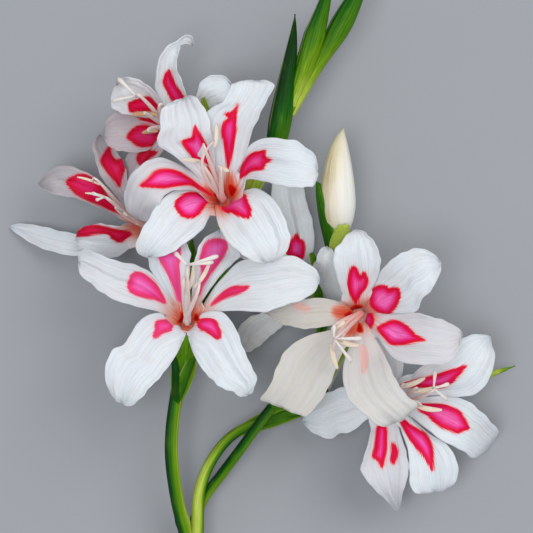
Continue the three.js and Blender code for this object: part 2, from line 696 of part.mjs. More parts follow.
for (const [place, bloom] of Object.entries(BLOOMS)) {
  const hollow = throatHollow(bloom);
  const petals = clearOf(perianth(bloom, 0), keepClear).subtract(hollow).subtract(surface);
  const grown = perianth(bloom, CLEARANCE);
  const inner = stamens(bloom).subtract(grown.subtract(hollow));
  addPart(`petals_${place}`, largestBody(petals), PETAL_WHITE, 0.55);
  addPart(`stamens_${place}`, largestBody(clearOf(inner, keepClear)), STAMEN_CREAM, 0.6);
  keepClear.push(grown);
}

const creamBud = clearOf(budSolid(CREAM_BUD, 0), keepClear);
addPart('cream_bud', largestBody(creamBud), BUD_CREAM, 0.5);
keepClear.push(budSolid(CREAM_BUD, CLEARANCE));

const bracts = [...BRACTS, ...BUD_BRACTS].map(bractSolid)
  .map((bract) => clearOf(bract, keepClear.slice(2)));
const green = joined([stalks, tipBuds, ...bracts]).subtract(surface);
addPart('stalks_and_bracts', largestBody(green), STALK_GREEN, 0.5);

export default spray;
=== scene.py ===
import math

import bpy
import numpy as np
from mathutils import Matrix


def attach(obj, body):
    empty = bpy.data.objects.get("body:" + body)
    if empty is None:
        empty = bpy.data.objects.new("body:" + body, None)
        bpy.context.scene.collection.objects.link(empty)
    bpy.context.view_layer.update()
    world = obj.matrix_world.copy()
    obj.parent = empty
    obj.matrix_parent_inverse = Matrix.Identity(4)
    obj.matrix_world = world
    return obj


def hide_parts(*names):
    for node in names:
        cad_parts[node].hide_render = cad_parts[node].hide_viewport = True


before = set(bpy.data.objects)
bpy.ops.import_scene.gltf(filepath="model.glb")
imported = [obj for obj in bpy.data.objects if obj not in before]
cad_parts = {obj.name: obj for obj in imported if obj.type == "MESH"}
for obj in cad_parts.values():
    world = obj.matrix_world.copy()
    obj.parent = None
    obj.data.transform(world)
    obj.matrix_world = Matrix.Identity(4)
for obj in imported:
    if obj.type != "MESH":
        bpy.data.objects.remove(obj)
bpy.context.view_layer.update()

# Scale and frame: millimetres here, metres in the meshes
METRES = 0.001
MM_PER_PIXEL = 0.4
PHOTO_MIDDLE = 266.5
EYE_HEIGHT = 900.0
PHOTO_HALF_WIDTH = 106.6
SHIFT = np.array([2.9, 59.4, 0.0])
LEAST_HEIGHT = 0.05
TINY = 1e-9
FAR = 1e9
HEADING_STEP = 0.001
STEEP = 0.9

# Marks: steps between two corners of an outline, what a point without marks holds, and embers
OUTLINE_STEPS = 6
OUTSIDE = -9.0
NO_MARKS = (OUTSIDE, OUTSIDE, 9.0)
EMBER_EDGE = 2.2
EMBER_REACH = 0.7

# Blades of petals and bracts
RISE_EASE = 1.7
CUP_START = 0.4

# Petals
PETAL_ROWS = 72
PETAL_COLUMNS = 36
PETAL_CROWDING = 1.35
PETAL_LAST_ROW = 0.998
PETAL_BODY = 0.5
PETAL_MARGIN = 0.24
PETAL_ROOT_HALF = 1.8
PETAL_ROOT_DEPTH = 4.6
PETAL_ROOT_INSET = 0.95
PETAL_LEAD = 9.2
WHORL_STEP = 0.5
LEAST_HALF = 0.15
OTHER_MARGIN_PHASE = 1.9
DRAWN_FROM = 0.12
LINE_PULL = (5, 14)
TIP_THINNING = (0.85, 1)

# Unevenness of a petal's margin
UNEVEN = 0.5
UNEVEN_SEED = 50
UNEVEN_SEED_STEP = 7
UNEVEN_WAVES = (19, 34, 53)
UNEVEN_FROM = (0.25, 0.6)

# Relief of a petal's skin: sizes in millimetres, waves from root to tip or from margin to margin
RELIEF_START = 0.06
RELIEF_END = 0.97
RIB_DEPTH = 0.4
RIB_WIDTH = 0.13
PLEAT_SWAY = 0.16
SWAY_WAVES = (3, 5)
BROAD_PLEATS = 2.4
BROAD_PLEAT_WAVES = (4, 7)
FINE_PLEAT_WAVES = (13, 21)
ROLLING = 0.6
ROLLING_WAVES = (5, 8)
CRIMP = 0.3
CRIMP_GAIN = 1.6
CRIMP_WAVES = (31, 47, 62)
PATTERN_STEP = 0.37

# How petals close round the throat
FUNNEL_OVERLAP = 0.14
FUNNEL_MOST = 1.2
FUNNEL_START = 4.5
FUNNEL_END = 9.0
FUNNEL_FADE = 3

# Flower tubes
TUBE_ROWS = 26
TUBE_INNER_ROWS = 10
TUBE_SIDES = 30
TUBE_RIBS = 6
TUBE_RIB_DEPTH = 0.05
TUBE_GUIDE = np.array([0, 1, 0.01])
TUBE_FOOT_RADIUS = 1.7
TUBE_MOUTH_RADIUS = 4.0
TUBE_FLARE = 2.2
TUBE_WALL = 0.45
TUBE_WARMTH = 0.5
RIM_DEPTH = 3.9
FLOOR_DEPTH = 4.8
TUBE_FOOT_PULL = 0.35
TUBE_MOUTH_PULL = 0.45
THROAT_FLOOR_RADIUS = 2.0
THROAT_FLOOR_GLOW = 0.1

# Stamens and style
COLUMN_RINGS = 8
COLUMN_SIDES = 16
COLUMN_RADIUS = 1.2
COLUMN_DEPTH = 6.4
COLUMN_RISE = 2.5
THREAD_RINGS = 26
THREAD_SIDES = 12
THREAD_RADIUS = 0.45
THREAD_FOOT_RADIUS = 0.78
THREAD_START = -3.0
THREAD_LEAD = 9.0
ANTHER_RINGS = 24
ANTHER_SIDES = 20
ANTHER_RADIUS = 0.85
ANTHER_GRIP = 0.3
ANTHER_BOW = 0.05
STYLE_THINNER = 0.9
STYLE_FORK = 0.97
STIGMA_RINGS = 18
STIGMA_RADIUS = 0.68
STIGMA_CURL = 0.12
STIGMA_FLATNESS = 0.55

# Stalks
STALK_SIDES = 28
STALK_RINGS_A_POINT = 14
RIDGES = ((0.035, 5), (0.012, 13))
UNEVEN_STALK = 0.03
UNEVEN_STALK_WAVES = (9, 17, 31)
JOINT_SWELLING = 0.13
JOINT_LENGTH = 0.012
YELLOW_FADE = (0.12, 0.42)
# How much painted light the sunny side of a stalk takes
STALK_PAINTED_SUN = 0.55

# Bracts
BRACT_ROWS = 40
BRACT_COLUMNS = 16
BRACT_CROWDING = 1.2
BRACT_LAST_ROW = 0.995
BRACT_BODY = 0.6
BRACT_MARGIN = 0.2
BRACT_ROOT_HALF = 2.0
LEAST_BRACT_HALF = 0.12
BRACT_RIB = 0.06
BRACT_RIB_WAVES = 26
BRACT_FOOT_YELLOW = 0.5

# Buds
BUD_RINGS = 90
BUD_SIDES = 72
BUD_TIP_RADIUS = 0.25
BUD_STEP_RISE = 0.16
SEAM_WIDTH = 0.06
# Direction and strength of the painted light on the side of a bud that faces the sun
PAINTED_SUN_SIDE = (0.8, 0.45, 0.35)
BUD_PAINTED_SUN = 0.3
BUD_TIP_SHADE = 0.25

# Where the random draws of each kind of form start
PETAL_SEED = 100
PETAL_SEEDS_A_BLOOM = 10
STALK_SEED = 1
BRACT_SEED = 11

# Floor, lamps and camera
FLOOR_HALF = 1.6
LIT_POINT = (0.0, 0.06, 0.03)
SENSOR = 36.0


# Points, directions and curves

def at(column, row, height):
    """The point over a pixel of the photo, at a height above the surface, in millimetres."""
    scale = MM_PER_PIXEL * (1 - height / EYE_HEIGHT)
    flat = np.array([(column - PHOTO_MIDDLE) * scale, (PHOTO_MIDDLE - row) * scale, height])
    return flat + SHIFT


def over_pixels(pixels, heights):
    """The same for many pixels at once."""
    scale = MM_PER_PIXEL * (1 - heights / EYE_HEIGHT)
    across = (pixels[:, 0] - PHOTO_MIDDLE) * scale
    up = (PHOTO_MIDDLE - pixels[:, 1]) * scale
    return np.stack([across, up, heights], axis=1) + SHIFT


def pixels_of(points):
    """The pixels that points lie over."""
    scale = MM_PER_PIXEL * (1 - points[:, 2] / EYE_HEIGHT)
    column = (points[:, 0] - SHIFT[0]) / scale + PHOTO_MIDDLE
    row = PHOTO_MIDDLE - (points[:, 1] - SHIFT[1]) / scale
    return np.stack([column, row], axis=1)


def unit(vector):
    vector = np.asarray(vector, float)
    length = np.linalg.norm(vector, axis=-1, keepdims=True)
    return vector / np.maximum(length, TINY)


def mix(start, end, share):
    return start + (end - start) * share


def smooth_step(low, high, value):
    share = np.clip((value - low) / (high - low), 0, 1)
    return share * share * (3 - 2 * share)


def along(path, t):
    """Points on a cubic Bezier curve."""
    t = np.atleast_1d(t)[:, None]
    s = 1 - t
    return s ** 3 * path[0] + 3 * s * s * t * path[1] + 3 * s * t * t * path[2] + t ** 3 * path[3]


def heading(path, t):
    """Directions of a curve."""
    return unit(along(path, t + HEADING_STEP) - along(path, t - HEADING_STEP))


def path_through(start, lead, middle, end):
    """The curve that leaves start by way of lead, passes middle half way and ends at end."""
    pull = (8 * middle - start - end - 3 * lead) / 3
    return [start, lead, pull, end]


def carried_sides(directions, side):
    """A side direction carried along a curve without twist."""
    sides = []
    for forward in directions:
        side = unit(side - forward * np.dot(side, forward))
        sides.append(side)
    return np.array(sides)


def eased_line(low, leave, high, arrive, s):
    """The smooth line from low to high that leaves and arrives with the given slopes."""
    return ((2 * s ** 3 - 3 * s ** 2 + 1) * low + (s ** 3 - 2 * s ** 2 + s) * leave
            + (3 * s ** 2 - 2 * s ** 3) * high + (s ** 3 - s ** 2) * arrive)


def smooth_through(knots, values, places):
    """A smooth line through values at knots."""
    knots = np.asarray(knots, float)
    values = np.asarray(values, float)
    slopes = np.gradient(values, knots, axis=0)
    index = np.clip(np.searchsorted(knots, places) - 1, 0, len(knots) - 2)
    span = (knots[index + 1] - knots[index])[:, None]
    s = ((places - knots[index]) / span[:, 0])[:, None]
    return eased_line(values[index], slopes[index] * span, values[index + 1], slopes[index + 1] * span, s)


def wavering(places, seed, waves):
    """A smooth wavering line between about -1 and 1, the same for the same seed."""
    chance = np.random.default_rng(seed)
    total = np.zeros_like(places)
    for wave in waves:
        total += chance.uniform(0.5, 1) * np.sin(wave * places + chance.uniform(0, 2 * math.pi))
    return total / len(waves)


def angles_round(sides):
    return 2 * math.pi * np.arange(sides) / sides


def places_to_tip(rows, crowding, last):
    """Places of rows along a blade, closer together towards the tip."""
    return last * (1 - (1 - np.linspace(0, 1, rows + 1)) ** crowding)


def swelling_rise(t, widest, ease):
    """How far a form has widened on its way from the root to its widest place."""
    return np.sin(math.pi / 2 * np.clip(t / widest, 0, 1)) ** ease


def past_widest(t, widest):
    return np.clip((t - widest) / (1 - widest), 0, 1)


def blade_half(blade, t, root_half, least):
    """Half the width of a blade that widens from its root and closes at its tip, rounder if blunt."""
    body = mix(root_half, blade["half"], swelling_rise(t, blade["widest"], RISE_EASE))
    over = past_widest(t, blade["widest"])
    closing = (1 - over ** (1.2 + 2.8 * blade["blunt"])) ** (1 - 0.5 * blade["blunt"])
    return np.maximum(body * closing, least)


# Marks: outlines on the petals, as signed distances in millimetres

def smooth_outline(corners):
    """A closed smooth outline through its corners."""
    corners = np.array(corners, float)
    count = len(corners)
    places = np.linspace(0, 1, OUTLINE_STEPS, endpoint=False)[:, None]
    outline = []
    for k in range(count):
        before, start, end, after = (corners[(k + step) % count] for step in (-1, 0, 1, 2))
        curve = (2 * start + (end - before) * places
                 + (2 * before - 5 * start + 4 * end - after) * places ** 2
                 + (3 * start - before - 3 * end + after) * places ** 3)
        outline.append(curve / 2)
    return np.concatenate(outline)


def distance_inside(pixels, corners):
    """How far inside an outline each pixel lies, in millimetres; below zero outside."""
    outline = smooth_outline(corners)
    ends = np.roll(outline, -1, axis=0)
    nearest = np.full(len(pixels), FAR)
    inside = np.zeros(len(pixels), bool)
    for start, end in zip(outline, ends):
        span = end - start
        share = np.clip(((pixels - start) @ span) / max(span @ span, TINY), 0, 1)
        gap = pixels - (start + share[:, None] * span)
        nearest = np.minimum(nearest, np.hypot(gap[:, 0], gap[:, 1]))
        crosses = (start[1] > pixels[:, 1]) != (end[1] > pixels[:, 1])
        slope = span[0] / (span[1] if abs(span[1]) > TINY else TINY)
        inside ^= crosses & (pixels[:, 0] < start[0] + (pixels[:, 1] - start[1]) * slope)
    return np.where(inside, nearest, -nearest) * MM_PER_PIXEL


def deepest_inside(points, outlines):
    """The distance inside whichever outline holds the point best."""
    if not outlines:
        return np.full(len(points), OUTSIDE)
    pixels = pixels_of(points)
    return np.max([distance_inside(pixels, corners) for corners in outlines], axis=0)


# Meshes: a piece gathers its grids, and what the materials need to know at each point

class Piece:
    """One mesh in the making, with three vectors at each point. Place runs across and along a form, and
    its last value sets one form's pattern apart from the next. Marks are only for petals: the depth
    inside a flame, the depth inside a spot and the distance from the throat. Tone is read by each
    material in its own way.
    """

    def __init__(self, name):
        self.name = name
        self.points = []
        self.faces = []
        self.place = []
        self.marks = []
        self.tone = []
        self.count = 0

    def take(self, points, place, marks, tone):
        """Adds points and returns the number of the first."""
        first = self.count
        points = np.asarray(points, float).reshape(-1, 3)
        self.points.append(points)
        for store, values in ((self.place, place), (self.marks, marks), (self.tone, tone)):
            store.append(np.broadcast_to(np.asarray(values, float), points.shape))
        self.count += len(points)
        return first

    def grid(self, first, rows, columns, wrap, flip):
        """Joins rows of points into faces; wrap closes each row on itself."""
        i, j = np.meshgrid(np.arange(rows), np.arange(columns), indexing="ij")
        width = columns if wrap else columns + 1
        after = (j + 1) % width
        corners = [i * width + j, i * width + after, (i + 1) * width + after, (i + 1) * width + j]
        faces = np.stack([corner.reshape(-1) for corner in corners], axis=1) + first
        self.faces += (faces[:, ::-1] if flip else faces).tolist()

    def fan(self, rim, centre, flip):
        """Closes a ring of points with faces round a centre."""
        for start, end in zip(rim, np.roll(rim, -1)):
            face = [int(centre), int(end), int(start)]
            self.faces.append(face[::-1] if flip else face)

    def build(self, material):
        """Makes the visible object, with the attributes that the material reads."""
        points = np.concatenate(self.points)
        points[:, 2] = np.maximum(points[:, 2], LEAST_HEIGHT)
        mesh = bpy.data.meshes.new(self.name)
        mesh.from_pydata((points * METRES).tolist(), [], self.faces)
        for name, store in (("place", self.place), ("marks", self.marks), ("tone", self.tone)):
            layer = mesh.attributes.new(name=name, type="FLOAT_VECTOR", domain="POINT")
            layer.data.foreach_set("vector", np.concatenate(store).astype(np.float32).ravel())
        mesh.polygons.foreach_set("use_smooth", [True] * len(mesh.polygons))
        mesh.materials.append(material)
        mesh.update()
        made = bpy.data.objects.new(self.name, mesh)
        bpy.context.scene.collection.objects.link(made)
        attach(made, "root")
        return made


def add_sheet(piece, middle, thickness, place, marks_of, tone_of):
    """A thin closed sheet round a grid of middle points."""
    rows, columns = middle.shape[0] - 1, middle.shape[1] - 1
    lengthwise = np.gradient(middle, axis=0)
    crosswise = np.gradient(middle, axis=1)
    normal = unit(np.cross(lengthwise, crosswise))
    firsts = []
    for face in (1, -1):
        points = middle + normal * (face * thickness / 2)[..., None]
        flat = points.reshape(-1, 3)
        firsts.append(piece.take(flat, place, marks_of(flat), tone_of(face)))
    piece.grid(firsts[0], rows, columns, wrap=False, flip=True)
    piece.grid(firsts[1], rows, columns, wrap=False, flip=False)
    width = columns + 1
    last = rows * width
    rim = [*range(columns), *range(columns, last + columns, width),
           *range(last + columns, last, -1), *range(last, 0, -width)]
    for start, end in zip(rim, rim[1:] + rim[:1]):
        piece.faces.append([firsts[0] + start, firsts[0] + end, firsts[1] + end, firsts[1] + start])


def add_round(piece, centres, radii, tone, guide=None):
    """A closed round body along a line of centres; radii has a row for each centre."""
    directions = unit(np.gradient(centres, axis=0))
    if guide is None:
        guide = (0, 1, 0) if abs(directions[0][2]) > STEEP else (0, 0, 1)
    sides = carried_sides(directions, np.asarray(guide, float))
    others = np.cross(directions, sides)
    rings, width = radii.shape
    angle = angles_round(width)
    ring = sides[:, None] * np.cos(angle)[None, :, None] + others[:, None] * np.sin(angle)[None, :, None]
    points = centres[:, None] + ring * radii[..., None]
    place = np.zeros(points.shape)
    place[..., 0] = np.cos(angle)[None]
    place[..., 1] = np.linspace(0, 1, rings)[:, None]
    place[..., 2] = np.sin(angle)[None]
    tone = np.array(tone(ring) if callable(tone) else tone, float)
    if tone.ndim == 2:
        tone = tone[:, None]
    tone = np.broadcast_to(tone, points.shape)
    first = piece.take(points.reshape(-1, 3), place.reshape(-1, 3), NO_MARKS, tone.reshape(-1, 3))
    piece.grid(first, rings - 1, width, wrap=True, flip=False)
    foot = piece.take(centres[:1], (0, 0, 0), NO_MARKS, tone[0, 0])
    head = piece.take(centres[-1:], (0, 1, 0), NO_MARKS, tone[-1, 0])
    piece.fan(first + np.arange(width), foot, flip=False)
    piece.fan(first + (rings - 1) * width + np.arange(width), head, flip=True)


# Petals

# What a petal has unless its own entry says otherwise. Half is its half width, cup and ruffle are how far
# its margins stand up and wave, and pleats how strongly it is pleated, all in millimetres. Widest is the
# place where it is widest, blunt goes from pointed to round, and roll is in degrees. Both warm and rosy
# are painted shade where the petal lies in shade: warm turns it beige and rosy greyish pink, and above 1
# rosy turns it grey. Above 0, deep darkens its flames, partly their own darker red and partly painted
# shade; from 0 to -0.5 it turns them paler and pinker, and towards -1 they fade to a faint salmon. Wrap
# adds to the angles by which the clockwise and the anticlockwise margin reach round the throat.
PETAL_SHAPE = dict(
    half=9.0, widest=0.62, blunt=0.75, cup=1.2, ruffle=0.9, waves=2.2, phase=0.0, roll=0.0, pleats=0.2,
    wrap=(0, 0), clockwise=None, anticlockwise=None, tip_pixel=None,
    flames=[], beige_shade=0.0, grey_pink_shade=0.0, flame_shade_and_tint=0.0, glow=1.0,
)

# What a bloom has unless its own entry says otherwise. Inner is 0 or 1: whether the even or the odd
# petals stand in the inner ring. Funnel is how far from the throat's axis the petals close on each other.
# In embers the throat glows deeper. Threads and anthers scale the thickness of these.
# A bloom's tan is painted shade: it turns its anthers brownish where they lie in shade.
BLOOM_SHAPE = dict(
    funnel=FUNNEL_END, inner=0, spots=[], embers=[], threads=1.0, anthers=1.0, anther_shade=0.0, pink=0.6,
)


def tube_path(bloom):
    """The curve of a flower tube from its seat on the stalk to the throat."""
    seat = at(*bloom["seat"])
    throat = at(*bloom["throat"])
    length = np.linalg.norm(throat - seat)
    return [
        seat,
        seat + unit(bloom["leaving"]) * length * TUBE_FOOT_PULL,
        throat - unit(bloom["facing"]) * length * TUBE_MOUTH_PULL,
        throat,
    ]


def tube_radius(t):
    return mix(TUBE_FOOT_RADIUS, TUBE_MOUTH_RADIUS, np.clip(t, 0, 1) ** TUBE_FLARE)


def petal_spine(bloom, petal, order):
    """The curve down the middle of a petal, and its side direction at the root."""
    whorl = (1 if order % 2 == bloom["inner"] else -1) * WHORL_STEP
    throat = at(*bloom["throat"])
    facing = unit(bloom["facing"])
    belly = at(*petal["belly"])
    tip = at(*petal["tip"])
    spread = mix(belly, tip, 0.5) - throat
    outward = unit(spread - facing * np.dot(spread, facing))
    depth = PETAL_ROOT_DEPTH - whorl
    place = 1 - depth / np.linalg.norm(at(*bloom["seat"]) - throat)
    root = along(tube_path(bloom), place)[0] + outward * (tube_radius(place) - PETAL_ROOT_INSET)
    lead = root + facing * (PETAL_LEAD + whorl) + outward
    return path_through(root, lead, belly, tip), np.cross(facing, outward)


def ruffled(petal, t, side):
    """How far a margin stands up from the middle of the petal."""
    phase = petal["phase"] + (OTHER_MARGIN_PHASE if side < 0 else 0.0)
    wave = np.sin(2 * math.pi * petal["waves"] * t + phase) * petal["ruffle"] * t ** 2
    return petal["cup"] * np.clip(t / CUP_START, 0, 1) + wave


def drawn_margin(petal, spine, root_point, corners, side, t):
    """A margin that follows pixels read off the photo, at the height of the petal's middle."""
    start = pixels_of(root_point[None])[0]
    tip = petal["tip_pixel"] or petal["tip"][:2]
    pixels = np.array([start, *corners, tip], float)
    steps = np.hypot(*np.diff(pixels, axis=0).T)
    knots = np.concatenate([[0], np.cumsum(steps)]) / steps.sum()
    lined = smooth_through(knots, pixels, t)
    heights = along(spine, t)[:, 2] + ruffled(petal, t, side)
    return over_pixels(lined, heights)


def outward_angle(bloom, petal):
    """The direction in which a petal leaves the throat, as an angle round the throat's axis."""
    facing = unit(bloom["facing"])
    aside = unit(np.cross(facing, (1, 0, 0)))
    spread = mix(at(*petal["belly"]), at(*petal["tip"]), 0.5) - at(*bloom["throat"])
    return math.atan2(np.dot(spread, np.cross(facing, aside)), np.dot(spread, aside))


def funnel_share(bloom, order):
    """How far round the throat a petal's foot reaches on either side, to lap over its neighbours."""
    others = [outward_angle(bloom, petal) for petal in bloom["petals"]]
    own = others.pop(order)
    reach = {}
    for side in (-1, 1):
        gap = min((side * (other - own)) % (2 * math.pi) for other in others)
        reach[side] = min(gap / 2 + FUNNEL_OVERLAP, FUNNEL_MOST)
    return reach


def from_axis(bloom, points):
    """Each point's offset from the axis of the throat."""
    facing = unit(bloom["facing"])
    offset = points - at(*bloom["throat"])
    return offset - (offset @ facing)[:, None] * facing


def closed_funnel(bloom, centre, margin, side, most):
    """Turns a margin round the throat's axis so that the petals meet near the throat."""
    facing = unit(bloom["facing"])
    middle, edge = from_axis(bloom, centre), from_axis(bloom, margin)
    turn = np.sum(np.cross(middle, edge) * facing, axis=1)
    now = np.arctan2(turn, np.sum(middle * edge, axis=1)) * side
    radius = np.linalg.norm(middle, axis=1)
    end = bloom["funnel"]
    wanted = most * (1 - smooth_step(FUNNEL_START, end, radius))
    more = (np.maximum(now, wanted) - now) * side * (1 - smooth_step(end, end + FUNNEL_FADE, radius))
    more = more[:, None]
    turned = edge * np.cos(more) + np.cross(facing, edge) * np.sin(more)
    return margin - edge + turned


def petal_middle(bloom, petal, order):
    """The middle surface of a petal as a grid of points, and the places of its rows from root to tip."""
    spine, side = petal_spine(bloom, petal, order)
    t = places_to_tip(PETAL_ROWS, PETAL_CROWDING, PETAL_LAST_ROW)
    directions = heading(spine, t)
    sides = carried_sides(directions, side)
    faces = np.cross(directions, sides)
    turn = np.radians(petal["roll"]) * t[:, None]
    sideways = sides * np.cos(turn) + faces * np.sin(turn)
    upward = faces * np.cos(turn) - sides * np.sin(turn)
    centre = along(spine, t)
    half = blade_half(petal, t, PETAL_ROOT_HALF, LEAST_HALF)[:, None]
    reach = funnel_share(bloom, order)
    for across, more in zip((-1, 1), petal["wrap"]):
        reach[across] += more
    margins = {}
    for key, across in (("clockwise", -1), ("anticlockwise", 1)):
        margin = centre + sideways * half * across + upward * ruffled(petal, t, across)[:, None]
        if petal[key] is not None:
            drawn = drawn_margin(petal, spine, margin[0], petal[key], across, t)
            margin = mix(margin, drawn, smooth_step(0.0, DRAWN_FROM, t)[:, None])
        seed = order + UNEVEN_SEED + UNEVEN_SEED_STEP * across
        uneven = UNEVEN * wavering(t, seed, UNEVEN_WAVES) * smooth_step(*UNEVEN_FROM, t)
        margin = margin + sideways * uneven[:, None] * (half / np.max(half))
        margins[across] = closed_funnel(bloom, centre, margin, across, reach[across])
    middle = (margins[-1] + margins[1]) / 2
    pulled = smooth_step(*LINE_PULL, np.linalg.norm(from_axis(bloom, centre), axis=1))[:, None]
    line = centre.copy()
    if petal["clockwise"] is not None:
        line[:, :2] = mix(centre[:, :2], middle[:, :2], pulled)
    across = np.linspace(-1, 1, PETAL_COLUMNS + 1)[None, :, None]
    straight = line[:, None] + (margins[1] - margins[-1])[:, None] / 2 * across
    return straight + (middle - line)[:, None] * across ** 2, t


def petal_relief(petal, t, across, seed):
    """How far the skin of a petal rises from a smooth one: midrib, pleats and a crimped margin.
    Each grows or fades between two places on the way from the root, 0, to the tip, 1.
    """
    grid_t, grid_a = np.meshgrid(t, across, indexing="ij")
    rib = -RIB_DEPTH * np.exp(-(grid_a / RIB_WIDTH) ** 2) * smooth_step(0.05, 0.3, grid_t)
    rib *= 1 - smooth_step(0.55, 0.98, grid_t)
    spread = grid_a + PLEAT_SWAY * wavering(grid_t, seed + 1, SWAY_WAVES)
    broad = BROAD_PLEATS * wavering(spread, seed, BROAD_PLEAT_WAVES)
    pleat = petal["pleats"] * (broad + wavering(spread, seed + 5, FINE_PLEAT_WAVES))
    pleat *= smooth_step(0.1, 0.45, grid_t) * (1 - 0.4 * smooth_step(0.8, 1, grid_t))
    rolling = ROLLING * wavering(grid_t + 0.5 * grid_a, seed + 2, ROLLING_WAVES)
    rolling *= smooth_step(0.2, 0.7, grid_t)
    crimp = CRIMP * np.abs(grid_a) ** 5 * smooth_step(0.35, 0.9, grid_t)
    crimp *= wavering(grid_t + 0.4 * np.sign(grid_a), seed + 3, CRIMP_WAVES) * CRIMP_GAIN
    return rib + pleat + rolling + crimp


def add_petal(piece, bloom, petal, order, seed):
    """A thin two-sided blade, with its marks measured from the outlines in pixels of the photo."""
    petal = {**PETAL_SHAPE, **petal}
    points, t = petal_middle(bloom, petal, order)
    across = np.linspace(-1, 1, PETAL_COLUMNS + 1)
    relief = petal_relief(petal, t, across, seed)
    lengthwise = np.gradient(points, axis=0)
    crosswise = np.gradient(points, axis=1)
    normal = unit(np.cross(lengthwise, crosswise))
    fade = np.minimum(smooth_step(0, RELIEF_START, t), 1 - smooth_step(RELIEF_END, 1.0, t))
    points = points + normal * (relief * fade[:, None])[..., None]
    thickness = mix(PETAL_BODY, PETAL_MARGIN, np.abs(across)[None] ** 3)
    thickness = thickness * (1 - 0.5 * smooth_step(*TIP_THINNING, t))[:, None]
    grid_t, grid_a = np.meshgrid(t, across, indexing="ij")
    pattern = np.full_like(grid_a, seed * PATTERN_STEP)
    place = np.stack([grid_a, grid_t, pattern], axis=-1).reshape(-1, 3)
    throat = at(*bloom["throat"])

    def marks_of(flat):
        flame = deepest_inside(flat, petal["flames"])
        spot = deepest_inside(flat, bloom["spots"])
        ember = smooth_step(-EMBER_EDGE, EMBER_EDGE, deepest_inside(flat, bloom["embers"]))
        near = np.linalg.norm(flat - throat, axis=1) / (bloom["glow"] * petal["glow"])
        return np.stack([flame, spot, near * (1 - EMBER_REACH * ember)], axis=1)

    # Tone: painted shade from warm and rosy, flame darkness partly painted shade, and which face.
    def tone_of(face):
        return petal["beige_shade"] - petal["grey_pink_shade"], petal["flame_shade_and_tint"], 1.0 if face > 0 else 0.0

    add_sheet(piece, points, thickness, place, marks_of, tone_of)


def add_tube(piece, bloom):
    """The flower tube, open at the throat."""
    path = tube_path(bloom)
    length = np.linalg.norm(path[3] - path[0])
    rim, floor = 1 - RIM_DEPTH / length, 1 - FLOOR_DEPTH / length
    t = np.concatenate([np.linspace(0, rim, TUBE_ROWS), np.linspace(rim, floor, TUBE_INNER_ROWS)])
    inward = np.arange(len(t)) >= TUBE_ROWS
    directions = heading(path, t)
    carried = carried_sides(directions[:TUBE_ROWS], TUBE_GUIDE)
    last = TUBE_ROWS - 1
    side_at = carried[np.minimum((t / rim * last + 0.5).astype(int), last)]
    side_at = unit(side_at - directions * np.sum(side_at * directions, axis=1, keepdims=True))
    other = np.cross(directions, side_at)
    outer = tube_radius(t)
    narrowing = (rim - t) / (rim - floor)
    radius = np.where(inward, mix(outer - TUBE_WALL, THROAT_FLOOR_RADIUS, narrowing), outer)
    angle = angles_round(TUBE_SIDES)
    ribbed = 1 + TUBE_RIB_DEPTH * np.cos(TUBE_RIBS * angle)[None]
    ring = side_at[:, None] * np.cos(angle)[None, :, None] + other[:, None] * np.sin(angle)[None, :, None]
    points = along(path, t)[:, None] + ring * (radius[:, None] * ribbed)[..., None]
    place = np.zeros(points.shape)
    place[..., 0] = (angle / math.pi - 1)[None]
    place[..., 1] = t[:, None]
    marks = np.full(points.shape, OUTSIDE)
    marks[..., 2] = np.linalg.norm(points - path[3], axis=-1) / bloom["glow"]
    tone = np.zeros(points.shape)
    tone[..., 0] = TUBE_WARMTH
    tone[..., 2] = inward[:, None]
    first = piece.take(points, place.reshape(-1, 3), marks.reshape(-1, 3), tone.reshape(-1, 3))
    piece.grid(first, len(t) - 1, TUBE_SIDES, wrap=True, flip=False)
    foot = piece.take(along(path, 0), (0, 0, 0), NO_MARKS, (TUBE_WARMTH, 0, 0))
    glowing = (OUTSIDE, OUTSIDE, THROAT_FLOOR_GLOW)
    bottom = piece.take(along(path, floor), (0, 0, 0), glowing, (TUBE_WARMTH, 0, 1))
    piece.fan(first + np.arange(TUBE_SIDES), foot, flip=False)
    piece.fan(first + (len(t) - 1) * TUBE_SIDES + np.arange(TUBE_SIDES), bottom, flip=True)


# Stamens and style

def add_thread(piece, path, thick, pink):
    """A filament or the style, pinker at its foot than at its top."""
    t = np.linspace(0, 1, THREAD_RINGS)
    radii = mix(THREAD_FOOT_RADIUS, THREAD_RADIUS, smooth_step(0.3, 0.9, t))[:, None] * thick
    radii = radii * (1 - 0.25 * smooth_step(0.8, 1, t))[:, None] * np.ones((1, THREAD_SIDES))
    tone = mix(np.array([0.0, pink, 0.0]), np.array([0.1, 0.12, 0.0]), t[:, None] ** 0.8)
    add_round(piece, along(path, t), radii, tone)


def add_anther(piece, start, end, size, anther_shade):
    """Two long lobes with a furrow between them, a little bowed."""
    t = np.linspace(0, 1, ANTHER_RINGS)
    span = end - start
    bow = unit(np.cross(span, (0, 0, 1))) * np.linalg.norm(span) * ANTHER_BOW
    centres = start + span * t[:, None] + bow * np.sin(math.pi * t)[:, None]
    angle = angles_round(ANTHER_SIDES)
    furrow = 0.14 * np.exp(-(np.cos(angle) - 1) ** 2 / 0.01)
    lobes = 0.78 + 0.22 * np.abs(np.sin(angle)) ** 1.3 - furrow
    swell = np.sin(math.pi * np.clip(t * 0.94 + 0.03, 0, 1)) ** 0.45
    radii = ANTHER_RADIUS * size * swell[:, None] * lobes[None]
    add_round(piece, centres, radii, (1.0, 0, anther_shade), guide=(0.0, 0.1, 1.0))


